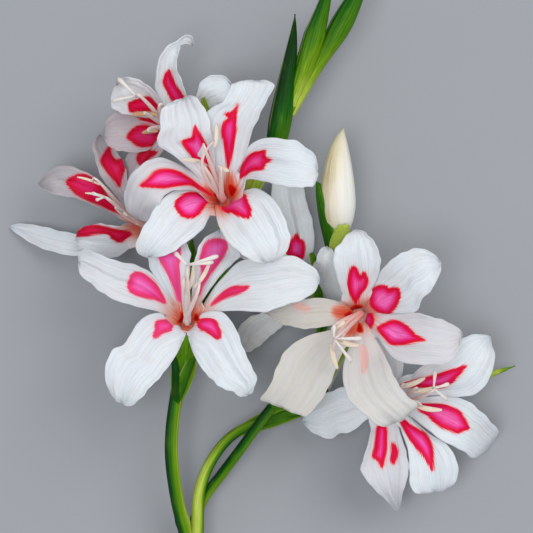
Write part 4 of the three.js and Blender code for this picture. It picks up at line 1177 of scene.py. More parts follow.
# The blooms. Seat, throat, belly, tip and the points of filaments and style are (column, row, height):
# a pixel of the photo and a height in millimetres. Leaving and facing are directions (x, y, z). Petals
# are listed round the throat. Spots, embers, flames and margins are outlines in pixels of the photo, and
# a margin runs from the throat to the tip. A filament is given by its middle and the ends of its anther,
# a style by its bend, its fork and the ends of its branches.
BLOOMS = {
    "centre": dict(
        seat=(234, 238, 26), leaving=(0.1, 0.5, 0.8), throat=(222, 198, 42), facing=(-0.1, 0.1, 1),
        glow=15.0, funnel=8.0, inner=1, threads=1.2, pink=0.7,
        spots=[[(228, 186), (231, 184), (236, 189), (235, 193), (232, 197), (229, 193)],
               [(213, 195), (217, 193), (221, 199), (218, 199)],
               [(207, 168), (209, 168), (216, 184), (221, 198), (219, 197), (213, 184)]],
        embers=[[(227, 172), (231, 172), (235, 182), (237, 190), (233, 198), (229, 190), (226, 181)],
                [(205, 188), (212, 190), (219, 196), (219, 201), (212, 199), (206, 194)]],
        petals=[
            dict(belly=(272, 166, 53), tip=(307, 172, 51), tip_pixel=(317, 172), blunt=1, phase=0.4,
                 flame_shade_and_tint=0.4,
                 anticlockwise=[(238, 172), (242, 160), (247, 149), (255, 141), (268, 138), (283, 139),
                                (297, 141), (306, 147), (314, 154), (317, 163)],
                 clockwise=[(240, 181), (250, 179), (262, 181), (275, 184), (290, 187), (304, 187),
                            (314, 185)],
                 flames=[[(240, 178), (241, 168), (245, 160), (251, 154), (260, 151), (266, 150),
                          (265, 156), (271, 160), (265, 164), (263, 169), (252, 171)]]),
            dict(belly=(254, 215, 53), tip=(270, 262, 49), half=12.4, widest=0.55, blunt=0.9, phase=2,
                 pleats=0.3, wrap=(0, 0.3), flame_shade_and_tint=0.25,
                 anticlockwise=[(236, 193), (246, 190), (256, 188), (265, 192), (274, 200), (281, 211),
                                (287, 224), (290, 238), (287, 250), (280, 258)],
                 clockwise=[(216, 204), (216, 214), (218, 224), (223, 234), (230, 244), (239, 252),
                            (249, 259), (260, 263)],
                 flames=[[(231, 196), (237, 194), (245, 195), (248, 203), (251, 211), (249, 218),
                          (241, 217), (233, 213), (226, 212), (222, 209), (224, 203), (228, 199)]]),
            dict(belly=(177, 212, 53), tip=(148, 257, 49), blunt=0.8, phase=1,
                 anticlockwise=[(217, 203), (213, 210), (208, 219), (203, 229), (195, 236), (186, 243),
                                (176, 250), (162, 256)],
                 clockwise=[(212, 195), (204, 190), (193, 187), (181, 188), (170, 193), (160, 201),
                            (152, 212), (145, 225), (139, 236), (135, 246), (139, 254)],
                 flames=[[(209, 199), (201, 194), (192, 192), (184, 194), (178, 199), (175, 205),
                          (178, 212), (184, 217), (192, 218), (199, 214), (204, 207)]]),
            dict(belly=(152, 178, 55), tip=(139, 220, 37), half=7.6, blunt=0.7, cup=-1.0, ruffle=2.0,
                 waves=3.2, grey_pink_shade=0.5,
                 anticlockwise=[(212, 198), (203, 194), (192, 190), (180, 190), (169, 193), (162, 199),
                                (158, 207), (153, 215), (147, 221)],
                 clockwise=[(212, 189), (204, 180), (195, 173), (186, 168), (177, 163), (168, 159),
                            (158, 157), (149, 160), (139, 167), (131, 174), (126, 184), (124, 196),
                            (127, 210)],
                 flames=[[(140, 186), (149, 177), (156, 171), (166, 169), (177, 171), (188, 177),
                          (199, 185), (213, 196), (200, 190), (190, 185), (178, 186), (164, 188),
                          (150, 187)]]),
            dict(belly=(187, 142, 53), tip=(182, 99, 49), half=10.2, blunt=0.9, ruffle=2.6, waves=3.4,
                 pleats=0.3, grey_pink_shade=0.25,
                 anticlockwise=[(209, 189), (200, 180), (192, 171), (186, 166), (180, 161), (173, 155),
                                (166, 150), (158, 146), (157, 140), (160, 129), (160, 118), (163, 108),
                                (170, 101)],
                 clockwise=[(215, 175), (215, 160), (214, 146), (212, 132), (209, 119), (204, 106),
                            (196, 97)],
                 flames=[[(195, 126), (200, 134), (205, 143), (208, 152), (211, 165), (206, 163),
                          (200, 161), (195, 160), (190, 153), (186, 148), (182, 141), (189, 139),
                          (192, 137), (193, 131)]]),
            dict(belly=(233, 131, 53), tip=(254, 81, 49), half=9.4, blunt=0.95, phase=3, beige_shade=0.12,
                 anticlockwise=[(220, 180), (212, 165), (207, 150), (203, 135), (203, 122), (207, 112),
                                (214, 106), (224, 101), (229, 92), (232, 84), (242, 82)],
                 clockwise=[(234, 178), (242, 162), (248, 146), (252, 132), (257, 121), (262, 110),
                            (267, 99), (272, 91), (275, 85), (266, 81)],
                 flames=[[(238, 104), (233, 111), (225, 114), (229, 118), (224, 122), (222, 132),
                          (224, 144), (226, 156), (228, 168), (230, 164), (232, 153), (234, 142),
                          (236, 130), (236, 116)]]),
        ],
        filaments=[[(206, 178, 60), (214, 148, 60), (216, 124, 58)],
                   [(212, 180, 58), (204, 163, 61), (182, 160, 60)],
                   [(221, 181, 57), (218, 166, 60), (229, 171, 58)]],
        style=[(212, 168, 63), (204, 145, 66), (199, 156, 64), (202, 158, 64)],
    ),
    "lower_left": dict(
        seat=(177, 396, 27), leaving=(0.1, 1, 0.25), throat=(187, 320, 37), facing=(0, 0.25, 1),
        glow=17.0, funnel=6.2, threads=1.25, pink=0.3,
        spots=[[(181, 312), (184, 314), (185, 322), (177, 323), (180, 318)],
               [(195, 314), (198, 315), (199, 321), (194, 320)]],
        petals=[
            dict(belly=(126, 284, 44), tip=(79, 262, 41), half=7.3, blunt=0.85, phase=0.5, grey_pink_shade=0.3,
                 flame_shade_and_tint=-0.2,
                 anticlockwise=[(172, 317), (160, 312), (147, 309), (133, 306), (118, 301), (104, 294),
                                (91, 284), (81, 274)],
                 clockwise=[(174, 303), (168, 293), (160, 282), (150, 272), (138, 266), (125, 263),
                            (112, 259), (99, 254), (87, 250), (80, 252)],
                 flames=[[(132, 274), (139, 272), (147, 276), (155, 283), (161, 292), (166, 303),
                          (157, 300), (147, 298), (136, 295), (129, 290), (128, 284), (130, 278)]]),
            dict(belly=(173, 275, 41), tip=(171, 240, 37), half=7.6, blunt=0.7, phase=2, beige_shade=0.1,
                 flame_shade_and_tint=-0.3,
                 anticlockwise=[(172, 302), (165, 291), (158, 281), (152, 272), (148, 262), (151, 252),
                                (161, 243)],
                 clockwise=[(184, 300), (187, 288), (189, 276), (190, 264), (190, 252), (186, 243),
                            (180, 239)],
                 flames=[[(159, 257), (166, 252), (172, 250), (175, 246), (180, 248), (180, 258),
                          (179, 270), (180, 284), (181, 300), (178, 300), (174, 288), (168, 275),
                          (163, 266)]]),
            dict(belly=(213, 266, 41), tip=(219, 229, 36), half=8.2, blunt=0.7, phase=1, beige_shade=0.1,
                 flame_shade_and_tint=-0.25,
                 anticlockwise=[(191, 303), (192, 290), (193, 276), (194, 262), (198, 248), (205, 237)],
                 clockwise=[(199, 306), (206, 295), (214, 284), (223, 273), (233, 264), (240, 257),
                            (236, 246), (228, 236)],
                 flames=[[(202, 252), (206, 243), (213, 239), (220, 239), (226, 242), (227, 248),
                          (224, 256), (217, 266), (209, 276), (203, 286), (199, 296), (199, 284),
                          (202, 272), (200, 262)]]),
            dict(belly=(260, 286, 45), tip=(320, 281, 42), half=10.2, widest=0.6, blunt=0.5, beige_shade=0.2,
                 flame_shade_and_tint=-0.15,
                 anticlockwise=[(202, 307), (208, 297), (216, 285), (225, 275), (235, 265), (246, 259),
                                (261, 258), (276, 256), (291, 256), (304, 261), (314, 269)],
                 clockwise=[(202, 314), (214, 312), (228, 311), (244, 311), (261, 312), (278, 308),
                            (293, 303), (306, 298), (315, 291)],
                 flames=[[(211, 306), (215, 300), (220, 295), (226, 290), (232, 287), (240, 286),
                          (249, 286), (244, 291), (236, 294), (227, 297), (219, 301)]]),
            dict(glow=0.35, belly=(219, 354, 44), tip=(248, 395, 40), half=9.2, blunt=0.8, phase=2,
                 pleats=0.25, wrap=(-0.4, 0), flame_shade_and_tint=-0.1,
                 anticlockwise=[(200, 315), (211, 311), (222, 312), (230, 320), (236, 331), (241, 343),
                                (246, 355), (251, 367), (255, 378), (253, 388)],
                 clockwise=[(187, 333), (190, 343), (194, 355), (200, 366), (208, 376), (217, 384),
                            (226, 390), (235, 393), (241, 397)],
                 flames=[[(197, 322), (202, 319), (208, 318), (213, 319), (217, 323), (220, 330),
                          (221, 337), (216, 339), (211, 335), (205, 331), (200, 329)]]),
            dict(glow=0.35, belly=(146, 355, 44), tip=(121, 403, 39), half=10.3, blunt=0.85, phase=3,
                 pleats=0.22, wrap=(0, -0.4), flame_shade_and_tint=-0.2,
                 anticlockwise=[(185, 333), (181, 345), (176, 355), (169, 366), (160, 377), (151, 387),
                                (143, 396), (132, 405)],
                 clockwise=[(176, 317), (166, 313), (156, 313), (146, 316), (137, 324), (130, 335),
                            (122, 345), (112, 350), (107, 361), (105, 374), (107, 387), (113, 397)],
                 flames=[[(156, 322), (162, 320), (170, 320), (176, 321), (173, 326), (170, 331),
                          (163, 333), (157, 337), (153, 337), (155, 330)]]),
        ],
        filaments=[[(186, 303, 50), (189, 290, 52), (193.5, 264, 52)],
                   [(193, 303, 50), (194, 288, 52), (210, 262, 52)],
                   [(184, 297, 51), (184, 284, 51), (188, 264, 51)]],
        style=[(188, 292, 55), (187, 265, 56), (175, 252.5, 55.5), (218, 256, 57), (213, 262, 57)],
    ),
    "right": dict(
        seat=(322, 399, 13), leaving=(0.3, 0.9, 0.4), throat=(360, 314, 38), facing=(-0.15, -0.05, 1),
        glow=12.0, threads=1.15, anthers=1.2, pink=1.0,
        spots=[[(350, 309), (355, 305), (362, 306), (360, 310), (353, 311)],
               [(359, 323), (361, 325), (363, 332), (357, 331)],
               [(344, 314), (350, 311), (352, 315), (346, 317)]],
        embers=[[(332, 306), (344, 305), (352, 310), (348, 318), (338, 320), (331, 315)],
                [(342, 326), (352, 323), (358, 328), (354, 336), (345, 338)]],
        petals=[
            dict(belly=(358, 268, 48), tip=(354, 230, 45), half=9, blunt=0.85, phase=1, beige_shade=0.08,
                 flame_shade_and_tint=0.35,
                 anticlockwise=[(353, 306), (345, 299), (340, 288), (336, 275), (334, 261), (335, 250),
                                (341, 243), (347, 235)],
                 clockwise=[(364, 303), (370, 292), (376, 281), (380, 269), (380, 256), (376, 244),
                            (369, 236), (362, 231)],
                 flames=[[(352, 267), (356, 268), (359, 274), (361, 276), (364, 272), (367, 276),
                          (368, 282), (366, 288), (361, 294), (358, 299), (356, 305), (353, 300),
                          (350, 294), (348, 287), (348, 280), (349, 274)]]),
            dict(belly=(402, 284, 49), tip=(441, 262, 46), half=9.6, blunt=0.95, phase=2, beige_shade=0.05,
                 flame_shade_and_tint=0.25,
                 anticlockwise=[(367, 302), (371, 290), (377, 276), (385, 266), (394, 258), (404, 252),
                                (414, 249), (425, 250), (434, 254)],
                 clockwise=[(374, 310), (384, 314), (394, 314), (404, 314), (413, 313), (418, 309),
                            (421, 301), (427, 295), (433, 288), (437, 279), (441, 270)],
                 flames=[[(370, 301), (370, 294), (373, 289), (379, 286), (386, 286), (389, 289),
                          (393, 288), (398, 288), (400, 294), (399, 301), (395, 308), (389, 314),
                          (382, 314), (376, 311), (371, 306)]]),
            dict(belly=(415, 338, 49), tip=(463, 337, 46), half=9.7, blunt=0.95, phase=0, grey_pink_shade=0.45,
                 anticlockwise=[(374, 312), (386, 314), (401, 314), (416, 313), (430, 316), (443, 320),
                                (453, 325), (461, 331)],
                 clockwise=[(372, 326), (378, 337), (384, 347), (391, 356), (401, 362), (413, 364),
                            (427, 365), (441, 364), (452, 361), (458, 352)],
                 flames=[[(377, 328), (383, 324), (390, 321), (397, 321), (404, 324), (410, 329),
                          (416, 335), (425, 340), (415, 342), (405, 344), (397, 345), (390, 344),
                          (385, 339), (380, 333)],
                         [(362, 311), (368, 311), (373, 316), (373, 325), (368, 328), (363, 321)]]),
            dict(belly=(370, 376, 52), tip=(402, 420, 46), half=10.9, blunt=0.9, phase=3, beige_shade=0.6,
                 flame_shade_and_tint=-1.0,
                 anticlockwise=[(370, 331), (378, 343), (385, 356), (391, 369), (397, 381), (404, 392),
                                (411, 400), (417, 405)],
                 clockwise=[(358, 334), (351, 344), (346, 356), (343, 368), (343, 381), (346, 393),
                            (352, 403), (361, 412), (371, 420), (382, 427)],
                 flames=[[(361, 347), (365, 347), (368, 356), (367, 364), (364, 373), (362, 366)]]),
            dict(belly=(308, 367, 43), tip=(283, 408, 36), half=11.2, blunt=0.95, phase=2, beige_shade=0.75,
                 anticlockwise=[(357, 333), (347, 345), (340, 358), (335, 371), (330, 384), (323, 398),
                                (314, 409), (306, 416), (296, 413)],
                 clockwise=[(352, 322), (341, 328), (327, 331), (313, 334), (301, 339), (290, 346),
                            (282, 355), (277, 366), (273, 378), (267, 389), (260, 398), (268, 402)]),
            dict(belly=(306, 311, 37), tip=(263, 312, 31), half=6.8, blunt=0.6, phase=1, beige_shade=0.85,
                 flame_shade_and_tint=-1.0,
                 anticlockwise=[(349, 319), (337, 324), (323, 327), (309, 329), (295, 328), (282, 324),
                                (270, 317)],
                 clockwise=[(350, 307), (337, 301), (321, 298), (303, 299), (287, 303), (273, 307)],
                 flames=[[(293, 304), (300, 304), (311, 309), (304, 311), (297, 308)]]),
        ],
        filaments=[[(346, 324, 50), (331.5, 344, 52), (337.5, 369, 51)],
                   [(344, 320, 49), (331, 329, 51), (345, 321.5, 52)],
                   [(349, 327, 51), (335, 340, 53), (359, 345.5, 54)]],
        style=[(347, 328, 56), (334, 338, 57), (362, 338.5, 57), (334, 325, 57), (351.5, 362, 56)],
    ),
    "lower_right": dict(
        seat=(352, 400, 11), leaving=(1, 0.1, 0.15), throat=(396, 402, 19), facing=(0.35, -0.2, 0.9),
        glow=6.0, threads=1.15, anthers=1.2,
        petals=[
            dict(belly=(444, 377, 31), tip=(491, 337, 24), half=10, blunt=0.95, phase=1, flame_shade_and_tint=0.1,
                 anticlockwise=[(405, 386), (414, 373), (428, 362), (442, 354), (453, 346), (462, 338),
                                (471, 335), (481, 335)],
                 clockwise=[(410, 398), (423, 396), (438, 395), (453, 397), (468, 396), (480, 391),
                            (488, 382), (493, 370), (495, 358), (492, 346)],
                 flames=[[(400, 385), (412, 381), (424, 378), (434, 375), (441, 373), (450, 370),
                          (458, 368), (466, 366), (461, 373), (455, 379), (450, 384), (444, 387),
                          (436, 388), (428, 388), (420, 387), (408, 387)]]),
            dict(belly=(451, 419, 28), tip=(490, 446, -2), half=8.8, blunt=0.95, phase=2, flame_shade_and_tint=0.25,
                 anticlockwise=[(410, 402), (424, 398), (440, 396), (456, 397), (470, 402), (480, 410),
                                (489, 420), (498, 431)],
                 clockwise=[(406, 411), (416, 420), (428, 430), (440, 439), (452, 446), (463, 451),
                            (472, 458)],
                 flames=[[(418, 405), (428, 404), (438, 404), (446, 405), (453, 408), (459, 411),
                          (463, 416), (466, 421), (469, 428), (463, 431), (457, 433), (449, 430),
                          (441, 427), (433, 421), (427, 415), (419, 410)]]),
            dict(belly=(424, 451, 27), tip=(436, 491, 17), half=9, blunt=0.95, phase=0, pleats=0.2,
                 flame_shade_and_tint=0.1,
                 anticlockwise=[(407, 413), (418, 424), (430, 434), (442, 441), (450, 448), (456, 457),
                                (458, 467), (457, 478), (452, 486)],
                 clockwise=[(399, 421), (402, 433), (407, 446), (409, 458), (409, 470), (410, 481),
                            (414, 492), (424, 494)],
                 flames=[[(399, 419), (404, 420), (411, 425), (418, 429), (425, 433), (430, 440),
                          (433, 449), (433, 460), (433, 470), (430, 467), (426, 460), (421, 453),
                          (415, 446), (409, 438), (404, 429)]]),
            dict(belly=(384, 455, 27), tip=(398, 511, 14), half=8.8, widest=0.5, blunt=0.15, phase=3,
                 pleats=0.22, grey_pink_shade=0.4,
                 anticlockwise=[(396, 416), (399, 429), (403, 442), (407, 455), (409, 468), (407, 480),
                                (403, 492), (401, 503)],
                 clockwise=[(378, 418), (371, 430), (368, 443), (364, 456), (361, 468), (366, 480),
                            (375, 490), (385, 499), (392, 506)],
                 flames=[[(378, 426), (386, 427), (387, 438), (387, 448), (385, 458), (382, 468),
                          (378, 461), (373, 457), (375, 447), (376, 437)],
                         [(392, 443), (395, 445), (398, 451), (397, 457), (394, 464), (391, 460),
                          (392, 452)]]),
            dict(belly=(350, 409, 23), tip=(302, 421, 13), half=9.6, blunt=0.85, phase=2, beige_shade=0.05,
                 anticlockwise=[(388, 411), (377, 416), (366, 420), (357, 428), (349, 432), (339, 434),
                                (330, 439), (318, 435), (307, 428)],
                 clockwise=[(388, 398), (373, 389), (356, 385), (339, 388), (323, 396), (309, 406)]),
            dict(belly=(386, 366, 26), tip=(378, 340, 20), half=7.5, blunt=0.7, phase=1, beige_shade=0.3),
        ],
        filaments=[[(400, 392, 33), (397, 387.5, 36), (425, 378, 37)],
                   [(408, 394, 32), (408, 391.5, 34), (440, 386.5, 36)],
                   [(408, 402, 33), (414, 405, 34), (442, 410, 36)]],
        style=[(420, 397, 38), (433, 388, 40), (435, 371, 41), (449, 384, 40), (447, 400, 38)],
    ),
    "top_left": dict(
        seat=(246, 202, 27), leaving=(-0.5, 0.7, 0), throat=(168, 128, 24), facing=(-0.5, 0.35, 0.8),
        glow=7.0, threads=1.2, anthers=1.1, anther_shade=1.0, pink=0.3,
        petals=[
            dict(belly=(169, 76, 34), tip=(193, 45, 30), half=6.2, widest=0.4, blunt=0.3, roll=20,
                 beige_shade=0.2, flame_shade_and_tint=0.4,
                 anticlockwise=[(162, 115), (158, 104), (155, 92), (155, 79), (157, 66), (161, 53),
                                (168, 45), (177, 40), (186, 34), (193, 37)],
                 clockwise=[(180, 114), (188, 102), (186, 92), (182, 80), (178, 68), (179, 56), (181, 46),
                            (187, 44)],
                 flames=[[(169, 70), (163, 80), (165, 88), (170, 97), (175, 104), (180, 101), (186, 101),
                          (182, 94), (177, 87), (173, 80)]]),
            dict(belly=(139, 99, 34), tip=(116, 84, 28), half=7.4, blunt=0.85, phase=1, grey_pink_shade=0.4,
                 flame_shade_and_tint=0.9,
                 anticlockwise=[(156, 120), (144, 117), (132, 115), (120, 113), (112, 107), (111, 98),
                                (113, 90)],
                 clockwise=[(166, 112), (160, 100), (153, 90), (144, 82), (135, 78), (127, 77),
                            (120, 79)],
                 flames=[[(129, 103), (136, 100), (142, 98), (149, 97), (155, 103), (161, 110),
                          (150, 111), (140, 111), (131, 112), (129, 108)]]),
            dict(belly=(130, 134, 29), tip=(103, 134, 24), half=8, blunt=0.85, phase=2, grey_pink_shade=1.3,
                 flame_shade_and_tint=0.8,
                 anticlockwise=[(158, 138), (150, 149), (139, 152), (127, 152), (116, 150), (107, 144)],
                 clockwise=[(158, 122), (145, 116), (131, 113), (118, 112), (109, 117), (104, 125)],
                 flames=[[(127, 137), (131, 131), (136, 127), (141, 125), (149, 126), (158, 130),
                          (159, 135), (157, 142), (152, 146), (145, 147), (138, 146), (132, 142)],
                         [(138, 118), (150, 119), (162, 121), (160, 124), (148, 122)]]),
            dict(belly=(143, 160, 24), tip=(131, 184, 15), half=6.5, blunt=0.7, phase=0, grey_pink_shade=1.3,
                 flame_shade_and_tint=1.0,
                 flames=[[(137, 160), (139, 153), (147, 151), (157, 152), (150, 158), (142, 165)]]),
            dict(belly=(190, 150, 26), tip=(192, 176, 19), half=6.5, blunt=0.7, phase=2, beige_shade=0.4),
            dict(belly=(205, 92, 33), tip=(232, 84, 30), half=6.2, widest=0.75, blunt=1, phase=1,
                 anticlockwise=[(174, 118), (184, 110), (193, 101), (198, 92), (200, 83), (207, 77),
                                (216, 75), (226, 77)],
                 clockwise=[(182, 122), (194, 115), (205, 109), (216, 106), (225, 102), (231, 94)]),
        ],
        filaments=[[(150, 116, 40), (158, 115, 39), (132, 115, 40)],
                   [(152, 128, 35), (158, 131, 35), (142, 133, 35)],
                   [(160, 112, 38), (163, 106, 38), (170, 110, 38)]],
        style=[(150, 106, 42), (136, 97, 44), (118, 78, 45), (124, 100, 44), (112, 101, 44)],
    ),
    "left": dict(
        seat=(203, 300, 25), leaving=(-0.4, 0.7, -0.2), throat=(140, 224, 18), facing=(-0.6, 0.1, 0.8),
        glow=13.0, anthers=0.6,
        petals=[
            dict(belly=(113, 178, 23), tip=(100, 134, 12), half=6.6, blunt=0.6, phase=1, grey_pink_shade=1.5,
                 flame_shade_and_tint=1.0,
                 anticlockwise=[(128, 209), (117, 197), (107, 185), (99, 172), (95, 159), (92, 147),
                                (95, 138)],
                 clockwise=[(138, 208), (132, 194), (128, 180), (125, 166), (119, 154), (112, 145),
                            (105, 138)],
                 flames=[[(109, 147), (111, 153), (113, 157), (117, 160), (124, 159), (125, 166),
                          (123, 174), (121, 181), (119, 187), (114, 180), (108, 173), (103, 166),
                          (101, 160), (104, 154)]]),
            dict(belly=(88, 194, 26), tip=(38, 184, 19), half=6.8, blunt=0.4, phase=2, grey_pink_shade=1.7, flame_shade_and_tint=0.9,
                 anticlockwise=[(127, 221), (115, 215), (102, 209), (90, 204), (77, 199), (64, 196),
                                (51, 193)],
                 clockwise=[(129, 211), (118, 201), (108, 190), (98, 180), (87, 173), (75, 168),
                            (62, 166), (50, 170)],
                 flames=[[(67, 181), (77, 175), (86, 175), (96, 181), (102, 188), (109, 198), (118, 207),
                          (128, 217), (118, 213), (104, 207), (90, 201), (78, 195), (70, 188)]]),
            dict(belly=(72, 244, 13), tip=(9, 226, -0.9), half=5, widest=0.5, blunt=0.2, phase=0,
                 beige_shade=0.15,
                 anticlockwise=[(122, 244), (109, 250), (96, 253), (82, 255), (68, 255), (54, 252),
                                (40, 247), (27, 240), (16, 232)],
                 clockwise=[(124, 234), (110, 237), (95, 237), (80, 235), (66, 232), (51, 229), (37, 226),
                            (23, 224)]),
            dict(belly=(107, 243, 21), tip=(75, 240, 16), half=6.8, blunt=0.9, phase=2, beige_shade=0.15,
                 flame_shade_and_tint=0.8,
                 anticlockwise=[(133, 238), (130, 247), (122, 254), (112, 258), (100, 257), (89, 253),
                                (80, 247)],
                 clockwise=[(130, 226), (119, 226), (108, 225), (97, 224), (87, 226), (78, 231)],
                 flames=[[(70, 235), (79, 230), (88, 226), (100, 226), (115, 229), (131, 233), (126, 238),
                          (121, 242), (114, 240), (107, 234), (95, 234), (83, 236)]]),
            dict(belly=(158, 240, 15), tip=(168, 256, 10), half=6.5, blunt=0.7, phase=1, beige_shade=0.4),
            dict(belly=(150, 192, 15), tip=(156, 168, 9), half=6.5, blunt=0.7, phase=3, beige_shade=0.4),
        ],
        filaments=[[(118, 207, 32), (110, 199, 33), (85, 193, 34)],
                   [(120, 212, 31), (122, 210, 32), (128, 216, 33)],
                   [(112, 196, 31), (100, 185, 33), (77, 177, 34)]],
        style=[(120, 208, 35), (104, 198, 37), (92, 193, 38), (96, 200, 38)],
    ),
    "behind": dict(
        seat=(322, 332, 17), leaving=(-0.2, 0.9, 0), throat=(301, 286, 12), facing=(-0.15, 0.25, 0.9),
        glow=6.0,
        petals=[
            dict(belly=(291, 232, 22), tip=(287, 168, -2.2), half=9.6, blunt=0.8, phase=1, pleats=0.1,
                 beige_shade=0.15, flame_shade_and_tint=0.1,
                 anticlockwise=[(292, 272), (285, 260), (281, 246), (278, 231), (275, 216), (272, 201),
                                (271, 187), (276, 175)],
                 clockwise=[(306, 272), (311, 260), (314, 246), (314, 232), (311, 217), (307, 203),
                            (304, 189), (298, 176)],
                 flames=[[(289, 238), (292, 240), (294, 236), (297, 234), (299, 238), (303, 241),
                          (305, 247), (304, 254), (302, 259), (296, 258), (291, 256), (286, 255),
                          (288, 250), (289, 245)]]),
            dict(belly=(326, 278, 27), tip=(327, 246, 25), half=5.6, blunt=0.6, phase=2, pleats=0.1,
                 beige_shade=0.2,
                 anticlockwise=[(306, 291), (305, 281), (310, 270), (316, 259), (320, 249)],
                 clockwise=[(328, 308), (341, 303), (341, 290), (338, 276), (335, 262), (333, 251)]),
            dict(belly=(322, 300, 10), tip=(340, 312, 5), half=6, blunt=0.7, phase=1, beige_shade=0.3),
            dict(belly=(266, 325, 12), tip=(243, 351, 5), half=7.6, blunt=0.8, phase=2, beige_shade=0.5,
                 anticlockwise=[(298, 308), (288, 319), (278, 330), (268, 338), (259, 345), (250, 350)],
                 clockwise=[(290, 300), (276, 307), (262, 313), (249, 318), (240, 325), (237, 338)]),
            dict(belly=(262, 280, 13), tip=(236, 284, 7), half=7, blunt=0.7, phase=3, beige_shade=0.3),
            dict(belly=(270, 260, 14), tip=(246, 240, 8), half=7, blunt=0.7, phase=0, beige_shade=0.3),
        ],
        filaments=[[(294, 272, 24), (290, 268, 25), (281, 250, 26)],
                   [(292, 276, 23), (288, 272, 24), (276, 258, 24)],
                   [(300, 276, 23), (298, 274, 24), (290, 262, 25)]],
        style=[(294, 270, 27), (285, 257, 27), (279, 246, 27), (283, 250, 28)],
    ),
}

# The three stalks: the points they run through, their radii and how much yellower and lighter they are at
# the foot and at the top, partly as painted light, the direction of the sunny side that takes painted
# light, and the places where their joints swell
STALKS = {
    "main": dict(
        points=[(166, 862, 2.6), (172, 760, 4.5), (182, 660, 8), (190, 580, 13), (185.5, 533, 17),
                (177.5, 500, 20), (171.5, 450, 24), (176, 400, 26), (190, 345, 26), (208, 300, 25),
                (225, 262, 25), (240, 222, 26), (255, 182, 27), (277, 138, 29), (291, 105, 31)],
        foot=2.9, top=2.1, yellow_and_light=(0.5, 0.36), sunny=(0.9, 0.3, 0.3), joints=[0.16, 0.31, 0.52]),
    "right": dict(
        points=[(191, 590, 12.5), (197, 533, 16.5), (200, 490, 17), (212, 460, 16.5), (232, 436, 15),
                (262, 421, 13), (300, 412, 11.5), (345, 403, 9), (400, 390, 5), (450, 380, 6), (492, 374, 9)],
        foot=2.7, top=0.9, yellow_and_light=(0.7, 0.22), sunny=(-0.5, 0.3, 0.8), joints=[0.62]),
    "bud": dict(
        points=[(188, 600, 11), (192, 533, 10), (203, 500, 11.5), (222, 474, 15), (240, 450, 19),
                (262, 420, 21.5), (282, 394, 21), (303, 364, 19), (322, 330, 17.5), (331, 290, 15),
                (334, 252, 19)],
        foot=2.2, top=1.7, yellow_and_light=(0.36, 0.1), sunny=(0.7, -0.5, 0.5), joints=[0.6]),
}

# Bracts: the green blades at the foot of each bloom and bud, and the sheath below the lower left bloom
BRACT_SHAPE = dict(widest=0.45, blunt=0.1, cup=-2.2, half=4.0, yellow_and_light=0.4, outward=(0, 0, 1))
BRACTS = [
    dict(root=(174.5, 408, 26.5), belly=(174.5, 380, 32.5), tip=(168, 340, 31), half=2.3,
         outward=(-0.4, 0, 1), yellow_and_light=0.0),
    dict(root=(177, 408, 26), belly=(187, 378, 32.5), tip=(203, 346, 30), half=2.5, outward=(0.6, 0, 0.8),
         yellow_and_light=0.35),
    dict(root=(176, 404, 27), belly=(184, 366, 32.5), tip=(186.5, 336, 36), half=4.8, yellow_and_light=0.5,
         blunt=0.2, cup=-1.4),
    dict(root=(238, 432, 15.5), belly=(280, 415, 14), tip=(335, 400, 10), half=3.9, widest=0.5, blunt=0.3,
         yellow_and_light=0.4),
    dict(root=(201, 318, 26), belly=(193, 272, 26), tip=(193, 240, 26), half=3, yellow_and_light=0.4),
    dict(root=(228, 256, 26), belly=(228, 226, 30), tip=(232, 210, 32), half=4, outward=(0.8, 0, 0.6)),
    dict(root=(242, 216, 27), belly=(222, 152, 33), tip=(204, 97, 37), half=3, outward=(0.6, 0, 0.8),
         yellow_and_light=0.7),
    dict(root=(246, 206, 27), belly=(262, 170, 32), tip=(264, 152, 35), half=4, outward=(0.4, 0, 1),
         yellow_and_light=0.85),
    dict(root=(270, 411, 21.5), belly=(286, 396, 29), tip=(302, 372, 30), half=4.6, yellow_and_light=0.5),
    dict(root=(308, 411, 12), belly=(332.5, 366, 23), tip=(353, 338, 30), half=2.2, outward=(-0.3, 0, 1),
         yellow_and_light=0.75),
    dict(root=(338, 405, 10), belly=(370, 404, 17), tip=(384, 404, 20), half=3.6, outward=(0, -0.6, 0.8)),
    dict(root=(321, 338, 18.5), belly=(321, 294, 20), tip=(313, 252, 22), half=3.4, outward=(0.8, 0, 0.6)),
    dict(root=(332, 266, 18.5), belly=(321.5, 221, 28), tip=(317, 182, 29), half=4.4, outward=(-0.8, 0, 0.6),
         yellow_and_light=0.3),
    dict(root=(333, 266, 17.5), belly=(342, 240, 29.5), tip=(345, 224, 32.6), half=3.8, outward=(0.3, 0, 1),
         yellow_and_light=0.95),
]

# Buds: what the green ones share, the three of the spike tip with the small green tip at the right and
# the seed case under the right bloom, and the cream bud. Folds, twist, start and step shape the edges
# that wind up a bud.
GREEN_BUD_SHAPE = dict(
    foot_radius=1.7, taper=1.5, folds=2, twist=0.5, start=0.9, step=0.2, swell=1.0, pale_foot=0.4,
)
GREEN_BUDS = [
    dict(foot=(273, 162, 28), middle=(286, 87, 32), tip=(295, 14, 34), radius=4.3, widest=0.3, tone=0.02,
         taper=1.4, foot_radius=2.4),
    dict(foot=(289, 112, 30.5), middle=(315, 34, 33), tip=(335, -42, 34), radius=4.1, widest=0.5, tone=0.4,
         taper=0.85, swell=1.5, foot_radius=1.9),
    dict(foot=(290, 114, 29.5), middle=(331, 43, 31), tip=(372, -38, 32), radius=4.2, widest=0.62, tone=0.45,
         swell=9.0, foot_radius=2.0),
    dict(foot=(488, 375, 9), middle=(500, 371, 9), tip=(515, 366, 9), radius=1.1, widest=0.3, tone=0.8),
    dict(foot=(317, 409, 11), middle=(322, 397, 13.7), tip=(325, 385, 18), radius=2.4, widest=0.45, tone=0.3,
         taper=2.2, foot_radius=1.6),
]
